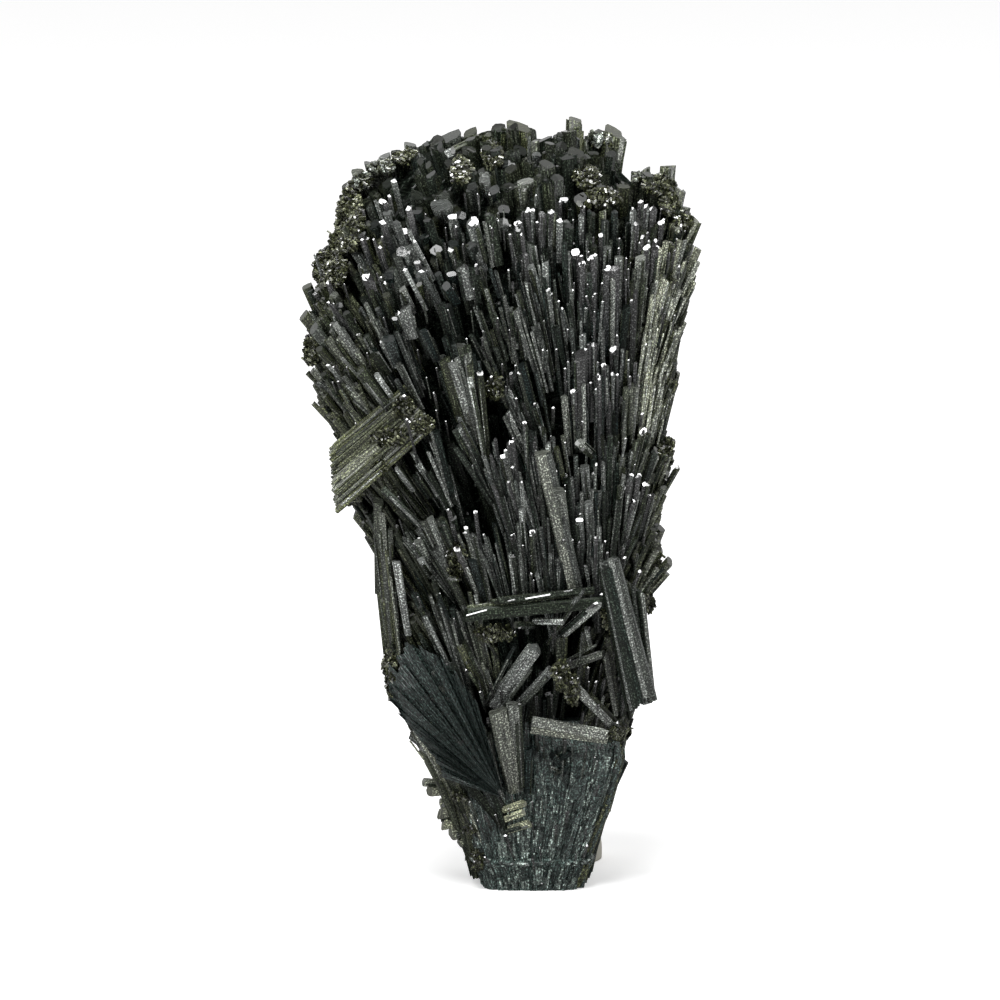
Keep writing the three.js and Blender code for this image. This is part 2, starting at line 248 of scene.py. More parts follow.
# %% From arrays to an object
def put_mesh(name, parts, materials, node):
    """One mesh object from several (corners, faces, uv, tint) parts."""
    loops, totals, slots = [], [], []
    shift = 0
    for part_corners, part_faces, _uv, _tint in parts:
        for block, slot in part_faces:
            flat_block = (block + shift).reshape(-1, block.shape[-1])
            loops.append(flat_block.ravel())
            totals.append(np.full(len(flat_block), flat_block.shape[1]))
            slots.append(np.full(len(flat_block), slot))
        shift += len(part_corners)
    corners = np.concatenate([part[0] for part in parts])
    uvs = np.concatenate([part[2] for part in parts])
    tints = np.concatenate([part[3] for part in parts])
    loops, totals, slots = np.concatenate(loops), np.concatenate(totals), np.concatenate(slots)
    starts = np.concatenate([[0], np.cumsum(totals)[:-1]])
    mesh = bpy.data.meshes.new(name)
    mesh.vertices.add(len(corners))
    mesh.vertices.foreach_set("co", corners.astype(np.float32).ravel())
    mesh.loops.add(len(loops))
    mesh.loops.foreach_set("vertex_index", loops.astype(np.int32))
    mesh.polygons.add(len(totals))
    mesh.polygons.foreach_set("loop_start", starts.astype(np.int32))
    for material in materials:
        mesh.materials.append(material)
    mesh.polygons.foreach_set("material_index", slots.astype(np.int32))
    mesh.update(calc_edges=True)
    mesh.shade_flat()
    layer = mesh.uv_layers.new(name="lath_uv")
    layer.data.foreach_set("uv", uvs[loops].astype(np.float32).ravel())
    colour = mesh.color_attributes.new("tint", "FLOAT_COLOR", "POINT")
    colour.data.foreach_set("color", tints.astype(np.float32).ravel())
    piece = new_object(name, mesh)
    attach(piece, ROOT_BODY)
    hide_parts(node)
    print(f"{name}: {int((totals - 2).sum())} triangles")
    return piece


# %% [markdown]
# ## Nodes without the long-windedness
# A material is a chain of nodes. Each helper adds one node, links its input
# and hands back its output, so a chain reads like a sum. The numbers of a
# node stay on its own sockets, where one can still turn them by hand.

# %% Helpers for materials
def new_material(name):
    """An empty node material with its nodes, its links and its one shader."""
    material = bpy.data.materials.new(name)
    material.use_nodes = True
    nodes = material.node_tree.nodes
    return material, nodes, material.node_tree.links, nodes["Principled BSDF"]


def map_range(nodes, links, value, low, high, to_low, to_high):
    """The value mapped from low..high to to_low..to_high."""
    node = nodes.new("ShaderNodeMapRange")
    for name, limit in (("From Min", low), ("From Max", high), ("To Min", to_low), ("To Max", to_high)):
        node.inputs[name].default_value = limit
    links.new(value, node.inputs["Value"])
    return node.outputs["Result"]


def flat_noise(nodes, links, place, scale, detail):
    """Noise on the two numbers of a UV map."""
    node = nodes.new("ShaderNodeTexNoise")
    node.noise_dimensions = "2D"
    node.inputs["Scale"].default_value = scale
    node.inputs["Detail"].default_value = detail
    links.new(place, node.inputs["Vector"])
    return node.outputs["Fac"]


def multiplied(nodes, links, colour, factor):
    """A colour times a factor."""
    node = nodes.new("ShaderNodeMix")
    node.data_type = "RGBA"
    node.blend_type = "MULTIPLY"
    node.inputs["Factor"].default_value = 1.0
    links.new(colour, node.inputs["A"])
    links.new(factor, node.inputs["B"])
    return node.outputs["Result"]


def bumped(nodes, links, height, strength, distance, shader):
    """Gives the shader a normal that follows a height."""
    node = nodes.new("ShaderNodeBump")
    node.inputs["Strength"].default_value = strength
    node.inputs["Distance"].default_value = distance
    links.new(height, node.inputs["Height"])
    links.new(node.outputs["Normal"], shader.inputs["Normal"])


# %% [markdown]
# ## Epidote as a material
# Epidote is a glassy, very dark green. Its prism faces are striated along
# their length, so the gloss breaks up into fine lines. The colour of each
# lath comes from an attribute on its corners, and the fine lines from noise
# that is stretched along the lath's own UV map. Pale specks on the faces are
# painted sparkle. The ends are smooth faces that grew last, so they are a
# second, glossier material, painted darker than the sides as painted shade.

# %% The epidote materials
EPIDOTE_IOR = 1.7
STRIATION_ACROSS = 9.0           # lines to the millimetre
STRIATION_ALONG = 0.25
STRIATION_DEPTH = 0.05 * MM
GRAIN = 2.2                      # patches of another gloss to the millimetre
SPARKLE_SPECKS = 4.5                     # pale specks of painted sparkle to the millimetre
SPARKLE_SPECK_GAIN = 5.0                 # how much paler a speck is than the face round it
DARK_TINT, PALE_TINT = 0.006, 0.05   # a tint this dark mirrors least, one this pale most
MOST_MIRRORED = 0.7


def epidote_material(name, rough_low, rough_high, bump_strength, sparkle_share, least_mirrored,
                     dark=0.2, pale=2.0, along=STRIATION_ALONG):
    """Glossy, striated crystal whose colour is the corner attribute; the dark laths mirror less.

    The colour is tint * lines * specks, and the pale specks are painted
    sparkle. Noise keeps near 0.5, so the part of it round 0.5 is stretched to
    the whole range from dark to pale.
    """
    material, nodes, links, shader = new_material(name)
    shader.inputs["IOR"].default_value = EPIDOTE_IOR
    tint = nodes.new("ShaderNodeAttribute")
    tint.attribute_name = "tint"
    gloss = map_range(nodes, links, tint.outputs["Fac"], DARK_TINT, PALE_TINT, least_mirrored, MOST_MIRRORED)
    links.new(gloss, shader.inputs["Specular IOR Level"])
    uv_map = nodes.new("ShaderNodeUVMap")
    uv_map.uv_map = "lath_uv"
    uv = uv_map.outputs["UV"]
    stretch = nodes.new("ShaderNodeMapping")
    stretch.inputs["Scale"].default_value = (STRIATION_ACROSS, along, 1.0)
    links.new(uv, stretch.inputs["Vector"])
    lines = flat_noise(nodes, links, stretch.outputs["Vector"], 1.0, 3.0)
    grain = flat_noise(nodes, links, uv, GRAIN, 4.0)
    sparkle_noise = flat_noise(nodes, links, uv, SPARKLE_SPECKS, 1.0)
    shade = map_range(nodes, links, lines, 0.3, 0.7, dark, pale)
    sparkled = map_range(nodes, links, sparkle_noise, 0.54, 0.7, 1.0, 1.0 + SPARKLE_SPECK_GAIN * sparkle_share)
    rough = map_range(nodes, links, grain, 0.35, 0.65, rough_low, rough_high)
    striated = multiplied(nodes, links, tint.outputs["Color"], shade)
    links.new(multiplied(nodes, links, striated, sparkled), shader.inputs["Base Color"])
    links.new(rough, shader.inputs["Roughness"])
    bumped(nodes, links, lines, bump_strength, STRIATION_DEPTH, shader)
    return material


side_face = epidote_material(
    "epidote_prism", rough_low=0.05, rough_high=0.24, bump_strength=0.6, sparkle_share=1.0,
    least_mirrored=0.1)
# The ends are painted darker than the sides, dark 0.1 and pale 0.9: painted shade on the faces that the lamp lights
# most.
end_face = epidote_material(
    "epidote_end", rough_low=0.04, rough_high=0.12, bump_strength=0.05, sparkle_share=0.3,
    least_mirrored=0.15, dark=0.1, pale=0.9)
foot_face = epidote_material(
    "epidote_foot", rough_low=0.2, rough_high=0.5, bump_strength=0.9, sparkle_share=1.4,
    least_mirrored=0.3, along=1.4)
EPIDOTE = [side_face, end_face]
FOOT_EPIDOTE = [foot_face, end_face]
print("materials:", [material.name for material in EPIDOTE + FOOT_EPIDOTE[:1]])

# %% [markdown]
# ## Colours of the laths
# Thick crystals look black-green, flat faces a little teal, and thin rims
# let light through and turn olive. Each lath mixes its tint from these.

# %% Tints
BLACK_GREEN = np.array([0.006, 0.008, 0.006])
TEAL = np.array([0.010, 0.017, 0.017])
OLIVE = np.array([0.054, 0.060, 0.028])
TAN = np.array([0.15, 0.157, 0.105])


def mix_tint(count, olive_share, teal_share):
    """Rows of black-green moved towards olive and teal by random amounts."""
    olive = (rng.random(count) ** 2 * 2 * olive_share)[:, None].clip(0, 1)
    teal = (rng.random(count) * teal_share)[:, None]
    return BLACK_GREEN + olive * (OLIVE - BLACK_GREEN) + teal * (TEAL - BLACK_GREEN)


# %% [markdown]
# ## The body under the crystals
# The specimen is a vase-shaped fan that closes in a dome. Level rings give
# its left, right, front and back reach at each height in millimetres. All
# crystals stand on this shape, and a darker core fills it a little inside.

# %% The body's rings
BODY = np.array([
    # height, left, right, front, back, squareness
    (0.0, -5.8, 5.5, -6.8, 6.4, 4.5),
    (1.2, -6.6, 6.4, -7.2, 7.0, 4.5),
    (3.4, -7.3, 7.0, -7.2, 7.0, 4.5),
    (3.9, -6.8, 6.6, -6.4, 7.0, 4.5),
    (9.0, -8.8, 8.3, -6.9, 7.0, 4.0),
    (14.0, -11.8, 10.0, -7.4, 7.6, 3.2),
    (19.0, -15.0, 11.0, -8.6, 8.4, 2.8),
    (24.0, -17.2, 12.6, -9.6, 9.0, 2.5),
    (32.0, -17.2, 13.2, -11.0, 10.2, 2.4),
    (38.0, -18.2, 14.8, -11.8, 11.0, 2.4),
    (43.0, -20.4, 14.4, -12.4, 11.8, 2.4),
    (48.0, -22.4, 15.8, -13.0, 12.4, 2.4),
    (54.0, -23.4, 15.2, -13.6, 13.0, 2.4),
    (60.0, -26.0, 16.2, -14.2, 13.6, 2.3),
    (66.0, -26.2, 17.0, -14.8, 14.2, 2.3),
    (72.0, -25.0, 18.4, -14.6, 14.4, 2.3),
    (76.0, -23.2, 18.2, -13.8, 14.0, 2.3),
    (80.0, -21.6, 16.6, -12.0, 12.8, 2.3),
    (83.0, -19.0, 14.4, -9.6, 11.6, 2.2),
    (85.0, -15.4, 11.4, -7.0, 10.0, 2.2),
    (86.6, -11.0, 9.2, -4.0, 8.4, 2.1),
    (87.8, -5.5, 6.0, -0.6, 6.6, 2.0),
])
BODY_TOP = BODY[-1, 0]
# Where the laths that end at a height seem to start, on the body's middle line.
ORIGIN_HEIGHT = np.array([(4.0, -22.0), (20.0, -2.0), (40.0, 12.0), (60.0, 26.0), (90.0, 34.0)])
ORIGIN_ACROSS = np.array([(0.0, 0.0), (40.0, 1.0), (60.0, 3.0), (90.0, 4.0)])
print("the body is", BODY_TOP, "mm tall in", len(BODY), "rings")

# %% [markdown]
# ## Places on the body
# Each ring is a superellipse: a square with a power of 2 is an ellipse, and a
# higher power fills its corners. The middle and the size are interpolated
# between the rings, so any height has a ring of its own.

# %% Points on the body
def ring_at(height):
    """The middle, half-size and squareness of the body at each height."""
    left, right, front, back, square = (np.interp(height, BODY[:, 0], BODY[:, k]) for k in range(1, 6))
    return (left + right) / 2, (front + back) / 2, (right - left) / 2, (back - front) / 2, square


def body_point(height, turn, inset=0.0):
    """The corner |x/a|^n + |y/b|^n = 1 at an angle, moved inwards by the inset."""
    middle_x, middle_y, half_x, half_y, square = ring_at(height)
    power = 2 / square
    x = middle_x + (half_x - inset) * np.sign(np.cos(turn)) * np.abs(np.cos(turn)) ** power
    y = middle_y + (half_y - inset) * np.sign(np.sin(turn)) * np.abs(np.sin(turn)) ** power
    return np.stack([x, y, height + 0 * x], axis=-1) * MM


FIRST_DEPTH = -10.0              # where the search for the front's depth starts, mm
OUTERMOST = 0.995                # past this share of the half width it stays as deep as there


def front_depth(x, height):
    """The y of the body's front where it looks x and height from the camera, mm.

    The level depends on the depth and the depth on the level, so both are
    worked out three times in turn.
    """
    depth = np.full(np.shape(x), FIRST_DEPTH)
    for _ in range(3):
        level = (height - depth * np.sin(CAMERA_ELEVATION)) / np.cos(CAMERA_ELEVATION)
        middle_x, middle_y, half_x, half_y, square = ring_at(level)
        out = np.clip(np.abs((x - middle_x) / half_x), 0, OUTERMOST)
        depth = middle_y - half_y * (1 - out**square) ** (1 / square)
    return depth


def grid_part(corners, tint):
    """A tube over rings of corners, closed at both ends by one face each.

    The first number of its UV runs round a ring, the second up the rings, mm.
    """
    rings, sides = corners.shape[:2]
    index = np.arange(rings * sides).reshape(rings, sides)
    quads = np.stack([
        index[:-1], np.roll(index, -1, axis=1)[:-1], np.roll(index, -1, axis=1)[1:], index[1:],
    ], axis=-1)
    around = np.linalg.norm(np.roll(corners, -1, axis=1) - corners, axis=-1).mean(0).cumsum() / MM
    uv = np.stack(np.meshgrid(around, corners[:, 0, 2] / MM), axis=-1)
    tints = np.ones((rings, sides, 4))
    tints[..., :3] = tint
    faces = [(quads, 0), (index[0, ::-1][None], 0), (index[-1][None], 0)]
    return corners.reshape(-1, 3), faces, uv.reshape(-1, 2), tints.reshape(-1, 4)


# %% [markdown]
# ## The dark core
# Between the laths one looks into the dark. A core of the body's own shape, a
# few millimetres smaller, closes the view there. Its ridges run upright, so
# that it passes for more laths.

# %% The dark core
CORE_INSET = 4.6                 # how far the core stays inside the body, mm
CORE_FOOT = 6.0                  # where it starts, inside the foot, mm
CORE_SIDES, CORE_RINGS = 220, 120


def core_surface():
    """The body's rings, smaller by the inset, with upright ridges."""
    height = np.linspace(CORE_FOOT, BODY_TOP - CORE_INSET, CORE_RINGS)[:, None]
    turn = np.linspace(0, 2 * np.pi, CORE_SIDES, endpoint=False)[None]
    ridge = rng.normal(0, 0.35, (1, CORE_SIDES)) + rng.normal(0, 0.15, (CORE_RINGS, CORE_SIDES))
    return body_point(height, turn, np.minimum(CORE_INSET, height) + ridge)


put_mesh("dark_core", [grid_part(core_surface(), BLACK_GREEN)], EPIDOTE, SPRAY_NODE)

# %% [markdown]
# ## Laths on the body
# Each lath ends near the body's surface and points away from an origin deep
# inside, as crystals of one fan do. Neighbours form small groups that lean
# the same way and stand out or sink together, which gives the fan its steps.

# %% The ends of the laths
CHISEL_FALL = 0.7                # steepest side of a chisel, rise over run
FRONT_FALL = (-0.2, 0.6)         # how far an end face falls towards the front
FLAT_SHARE, FLAT_FALL = 0.7, 0.5     # most ends are one flat cut, at most this steep


def random_slopes(count):
    """Two falls of the chisel and the fall towards the front; a flat cut falls f and -f."""
    slopes = np.stack([
        rng.uniform(0.0, CHISEL_FALL, count), rng.uniform(0.0, CHISEL_FALL, count),
        rng.uniform(*FRONT_FALL, count),
    ], axis=1)
    flat_cut = rng.random(count) < FLAT_SHARE
    slopes[flat_cut, 0] = rng.uniform(-FLAT_FALL, FLAT_FALL, flat_cut.sum())
    slopes[flat_cut, 1] = -slopes[flat_cut, 0]
    return slopes


# %% [markdown]
# ## The outline and the hollows
# A fan of random laths would blur the outline, so no lath may end outside it.
# The outline is noted as it looks, in mm: the highest places from left to
# right, and the reach to the left and right at each height. Between the fans
# lie hollows, where no lath ends and the dark inside shows.

# %% The outline and the hollows
TOP_OUTLINE = np.array([
    # x, height
    (-24.0, 77.0), (-23.2, 79.0), (-22.0, 81.0), (-19.0, 83.5), (-16.5, 84.6), (-13.0, 85.9), (-10.0, 86.6),
    (-6.0, 87.0), (-3.3, 87.6), (-0.4, 87.8), (0.0, 86.2), (2.2, 86.2), (2.6, 87.0), (5.6, 87.0), (9.0, 87.0),
    (9.4, 80.7), (11.4, 80.7), (12.0, 82.2), (16.4, 82.6), (17.8, 78.0), (19.4, 76.5), (20.0, 73.0),
])
SIDE_OUTLINE = np.array([
    # height, left, right
    (2.4, -7.4, 7.1), (7.0, -10.2, 7.8), (9.4, -11.4, 8.7), (14.0, -12.1, 10.2), (16.4, -13.5, 10.5),
    (18.7, -15.4, 13.6), (21.0, -16.9, 14.0), (25.7, -17.8, 13.8), (28.0, -16.7, 13.6), (32.7, -17.9, 14.2),
    (35.0, -18.8, 15.2), (39.7, -18.8, 14.7), (42.0, -19.8, 14.3), (44.3, -22.4, 14.9), (46.6, -23.5, 16.2),
    (51.3, -22.8, 16.3), (53.6, -23.7, 15.0), (58.3, -26.4, 16.5), (60.6, -27.2, 16.4), (65.2, -27.1, 17.3),
    (67.6, -26.5, 17.8), (72.2, -26.0, 19.2), (76.9, -23.2, 19.2), (79.2, -23.1, 17.3), (90.0, -23.1, 17.0),
])


def looks_at(places):
    """The x and height at which places appear from the camera, mm."""
    ray = places - eye
    ahead = unit(np.array(AIM) - eye)
    on_plane = eye + ray * (CAMERA_DISTANCE / (ray @ ahead))[:, None] - np.array(AIM)
    return on_plane @ view_right / MM + AIM.x / MM, on_plane @ view_up / MM + FOOT_BELOW_AIM


def inside_outline(places, slack=0.3):
    """Which places look as if they lay inside the outline."""
    x, height = looks_at(places)
    left, right = (np.interp(height, SIDE_OUTLINE[:, 0], SIDE_OUTLINE[:, column]) for column in (1, 2))
    low_enough = height < np.interp(x, *TOP_OUTLINE.T) + slack
    return low_enough & (x > left - slack) & (x < right + slack)


HOLLOWS = np.array([
    # x, height, half across, half up
    (-13.2, 58.5, 1.9, 4.6), (2.4, 60.5, 2.2, 3.6), (-11.5, 45.6, 3.8, 1.5), (-13.8, 36.5, 1.6, 2.6),
    (-14.7, 82.0, 0.9, 1.9), (3.4, 80.6, 1.8, 1.1), (-7.6, 79.6, 2.4, 1.2), (-12.6, 66.6, 1.6, 2.6),
    (3.0, 20.0, 3.6, 1.0), (7.4, 23.0, 1.6, 1.4), (9.4, 31.4, 1.2, 1.8), (-9.4, 35.8, 1.0, 2.4),
    (-4.6, 71.0, 1.6, 2.0), (-18.8, 57.4, 1.4, 1.6), (3.4, 52.6, 1.2, 1.6), (11.6, 54.6, 1.6, 1.2),
    (-6.2, 56.6, 1.2, 2.2), (10.2, 41.6, 1.4, 1.6), (-19.6, 73.0, 1.0, 1.6), (-8.4, 47.6, 1.6, 1.2),
])


def outside_hollows(x, height):
    """Which places lie in none of the hollows."""
    middle_x, middle_up, across, tall = HOLLOWS.T
    away = np.hypot((x[:, None] - middle_x) / across, (height[:, None] - middle_up) / tall)
    return away.min(1) > 1


# %% [markdown]
# ## Laths all over the skin
# A random lath gets companions: thinner ones grown onto its sides, as they
# are on the real thing. Neighbours share a step and a lean, so that the skin
# breaks up into groups and not into even fur.

# %% Growing laths
LOWEST_ROOT = 0.6 * MM           # no root is lower, so nothing reaches the table
GROUP_SPACING = 4.0 * MM
SKIN_TURN = 0.6                  # scatter of a lath's turn about its axis, radians
SKIN_FLAT = (0.5, 0.95)          # thickness over width
SKIN_TAPER = (0.75, 1.0)         # width of the root over that of the tip
ASIDE = (0.3, 0.62)              # how far a companion stands aside, in widths of its lath


def many(section, root, tip, width, facing, olive, teal, tip_olive):
    """Laths with random flatness, turn and end from their roots and tips."""
    count = len(root)
    root_tint = mix_tint(count, olive, teal)
    lit = (rng.random(count) * tip_olive)[:, None]
    return lath_mesh(
        section, root, tip, width, rng.uniform(*SKIN_FLAT, count), rng.normal(0, SKIN_TURN, count),
        np.broadcast_to(facing, root.shape), random_slopes(count), rng.uniform(*SKIN_TAPER, count),
        root_tint, root_tint + lit * (TAN - root_tint),
    )


def companions(root, tip, width, facing, each, shorten=0.14):
    """Thinner laths beside each main one, parallel to it and mostly shorter."""
    root, tip, width = (np.repeat(value, each, axis=0) for value in (root, tip, width))
    facing = np.repeat(np.broadcast_to(facing, (len(root) // each, 3)), each, axis=0)
    axis = tip - root
    aside = rng.normal(0, 1, root.shape)
    aside = unit(aside - (aside * unit(axis)).sum(1, keepdims=True) * unit(axis))
    shift = aside * (width * rng.uniform(*ASIDE, len(width)))[:, None]
    shorter = axis * rng.uniform(-0.02, shorten, len(width))[:, None]
    return root + shift, tip + shift - shorter, width * rng.uniform(0.2, 0.6, len(width)), facing


def grouped(places, out_scatter, lean_scatter):
    """A step outwards and a lean for each place, the same as at the nearest group's middle."""
    size = np.ptp(places, axis=0)
    area = 2 * (size[0] + size[1]) * size[2]
    groups = max(4, int(area / GROUP_SPACING ** 2))
    middles = places[rng.choice(len(places), min(groups, len(places)), replace=False)]
    nearest = np.argmin(((places[:, None] - middles[None]) ** 2).sum(-1), axis=1)
    step = rng.normal(0, out_scatter * MM, len(middles))
    lean = rng.normal(0, lean_scatter, middles.shape)
    return step[nearest], lean[nearest]


def origin_of(height):
    """Where the laths that end at this height seem to start."""
    up = np.interp(height, *ORIGIN_HEIGHT.T)
    across = np.interp(height, *ORIGIN_ACROSS.T)
    return np.stack([across, 0 * up + 0.5, up], axis=-1) * MM


# %% [markdown]
# ## Covering a part of the body
# A lath's tip stands near the body's surface and its root lies further in. A
# lath that would reach the table is cut short, and what ends outside the
# outline or in a hollow of the front is left out.

# %% Laths on a part of the body
def skin_laths(height, turn, width, length, inset, olive, teal, each, tip_olive, out=0.7, lean=0.06):
    """Laths on a part of the body, from the heights and angles of their tips.

    Widths and lengths are least and most in mm, olive and teal are shares of
    colour, each is the number of companions, out and lean scatter the groups.
    """
    place = body_point(height, turn, inset)
    away = unit(place - origin_of(height))
    step, tilt = grouped(place, out, lean)
    away = unit(away + tilt + rng.normal(0, lean * 0.6, away.shape))
    tip = place + away * (step - rng.exponential(0.6 * MM, len(step)))[:, None]
    above_table = (tip[:, 2] - LOWEST_ROOT) / away[:, 2].clip(0.05)
    root = tip - away * np.minimum(rng.uniform(*length, len(step)) * MM, above_table)[:, None]
    widths = rng.uniform(*width, len(step)) * MM
    facing = unit(np.stack([np.cos(turn), np.sin(turn), 0 * turn], axis=-1) + rng.normal(0, 0.2, place.shape))
    kept = inside_outline(tip) & (outside_hollows(*looks_at(tip)) | (tip[:, 1] > 0))
    root, tip, widths, facing = root[kept], tip[kept], widths[kept], facing[kept]
    main = many(BLUNT_SECTION, root, tip, widths, facing, olive, teal, tip_olive)
    fine = companions(root, tip, widths, facing, each)
    return [main, many(FINE_SECTION, *fine, olive, teal, tip_olive)]


# %% [markdown]
# ## Back, sides, front and crown
# The same recipe grows all of them, with other widths and colours. The back
# and the sides are thin and olive where light comes through, and the front
# is sunk deeper, because the fans of the next step cover it.

# %% The skin's four pieces
BODY_WALL = 80.0                 # the wall ends and the dome starts at this height, mm
RIGHT, LEFT = 0.0, np.pi         # the angles of the two sides; the back lies between them


def wall(count, low, turn_low, turn_high):
    """Random heights and angles on the wall, evenly over its area."""
    height = low + (BODY_WALL - low) * (np.arange(count) + rng.random(count)) / count
    turn = rng.uniform(turn_low, turn_high, count)
    return height, turn


def dome(count):
    """Random heights and angles on the closing dome, evenly over its plan."""
    plan = np.sqrt(rng.random(count))
    steps = np.linspace(BODY_TOP, BODY_WALL, 60)
    _x, _y, half_x, half_y, _n = ring_at(steps)
    size = np.sqrt(half_x * half_y)
    return np.interp(plan * size[-1], size, steps), rng.uniform(0, 2 * np.pi, count)


put_mesh("back_crystals", skin_laths(
    *wall(1000, 8.0, RIGHT - 0.2, LEFT + 0.2),
    width=(0.7, 1.7), length=(9, 20), inset=0.4, olive=0.25, teal=0.5, each=3, tip_olive=0.25),
    EPIDOTE, SPRAY_NODE)
side_parts = []
for count, turn_low, turn_high in ((420, RIGHT - 0.9, RIGHT + 0.3), (500, LEFT - 0.3, LEFT + 0.9)):
    side_parts += skin_laths(
        *wall(count, 8.0, turn_low, turn_high),
        width=(0.5, 1.2), length=(9, 18), inset=0.3, olive=0.35, teal=0.5, each=3, tip_olive=0.3)
put_mesh("side_crystals", side_parts, EPIDOTE, SPRAY_NODE)
put_mesh("front_crystals", skin_laths(
    *wall(420, 14.0, LEFT, 2 * np.pi),
    width=(0.6, 1.3), length=(8, 18), inset=2.4, olive=0.05, teal=0.3, each=2, tip_olive=0.0),
    EPIDOTE, SPRAY_NODE)
put_mesh("crown_crystals", skin_laths(
    *dome(420), width=(1.0, 2.1), length=(8, 16), inset=0.4, olive=0.12, teal=0.4, each=2,
    tip_olive=0.08, out=1.3, lean=0.09), EPIDOTE, SPRAY_NODE)

# %% [markdown]
# ## The foot
# The foot is a stout stem of crystals broken off across. Level rings with
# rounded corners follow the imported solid, and fine ridges run up it.

# %% The foot's rings
FOOT_RINGS = np.array([
    # height, left, right, front, back
    (0.0, -6.1, 5.9, -6.8, 6.4),
    (1.6, -6.3, 6.1, -6.9, 6.8),
    (2.6, -6.9, 6.7, -7.2, 7.0),
    (3.4, -7.3, 7.0, -7.3, 7.0),
    (3.6, -6.8, 6.6, -6.4, 7.0),
    (9.0, -8.0, 8.8, -6.8, 7.0),
    (15.0, -9.6, 10.4, -7.2, 7.2),
    (17.0, -9.8, 10.2, -7.1, 6.8),
    (20.0, -8.4, 8.4, -6.0, 5.0),
])
FOOT_SIDES = 360
FOOT_RIDGE = 0.12                # how much the ridges on it differ, mm
FOOT_POWER = 2 / 4.5
FOOT_TEAL = np.array([0.028, 0.040, 0.036])


def foot_point(height, turn, proud):
    """The corner of |x/a|^4.5 + |y/b|^4.5 = 1 at an angle, moved outwards."""
    left, right, front_edge, back_edge = (
        np.interp(height, FOOT_RINGS[:, 0], FOOT_RINGS[:, column]) for column in range(1, 5)
    )
    cos_part = np.sign(np.cos(turn)) * np.abs(np.cos(turn)) ** FOOT_POWER
    sin_part = np.sign(np.sin(turn)) * np.abs(np.sin(turn)) ** FOOT_POWER
    x = (left + right) / 2 + ((right - left) / 2 + proud) * cos_part
    y = (front_edge + back_edge) / 2 + ((back_edge - front_edge) / 2 + proud) * sin_part
    return np.stack([x, y, height + 0 * x], axis=-1) * MM


def spread(even):
    """Angles whose corners lie evenly along the foot's sides."""
    sin_part, cos_part = (np.sign(f) * np.abs(f) ** (1 / FOOT_POWER) for f in (np.sin(even), np.cos(even)))
    return np.arctan2(sin_part, cos_part)


def foot_surface():
    """The foot's rings one above the other, with fine upright ridges."""
    heights = np.concatenate([np.linspace(0, 4, 17), np.linspace(4.5, 20, 40)])
    turn = spread(np.linspace(0, 2 * np.pi, FOOT_SIDES, endpoint=False))
    fine = rng.normal(0, 1, FOOT_SIDES)
    ridge = 0.6 * fine + 0.8 * np.repeat(rng.normal(0, 1, FOOT_SIDES // 4), 4)
    return foot_point(heights[:, None], turn[None], FOOT_RIDGE * ridge[None])


put_mesh("foot_stem", [grid_part(foot_surface(), FOOT_TEAL)], FOOT_EPIDOTE, SPRAY_NODE)

# %% [markdown]
# ## The front, fan by fan
# Seen from the front the specimen is a patchwork of small fans. Each one has
# a patch where its laths end and an apex they all point away from, both in
# millimetres as they look from the camera. A lath's root lies deeper than its
# tip, so the lower fans cover the roots of the upper ones, like the scales of
# a cone. How many laths a patch gets follows from its area, so that a few
# millimetres of each lath stay in sight.

# %% Fans of the front
IN_SIGHT = 3.8                   # length of a lath that its neighbours leave in sight, mm
SINK = (0.04, 0.36)              # how much deeper a root lies, per length of the lath
SMOOTH, SINK_SMOOTH = 0.2, 0.12  # fans less rough than this are one smooth slab
FLASH_SHARE = 0.55               # of the laths that the table lets flash
SMOOTH_TURN, RIM_TURN, FAN_TURN = 0.04, 0.1, 0.22    # scatter of the turn in the three kinds of fan
GOLDEN_ANGLE = np.pi * (3 - np.sqrt(5))

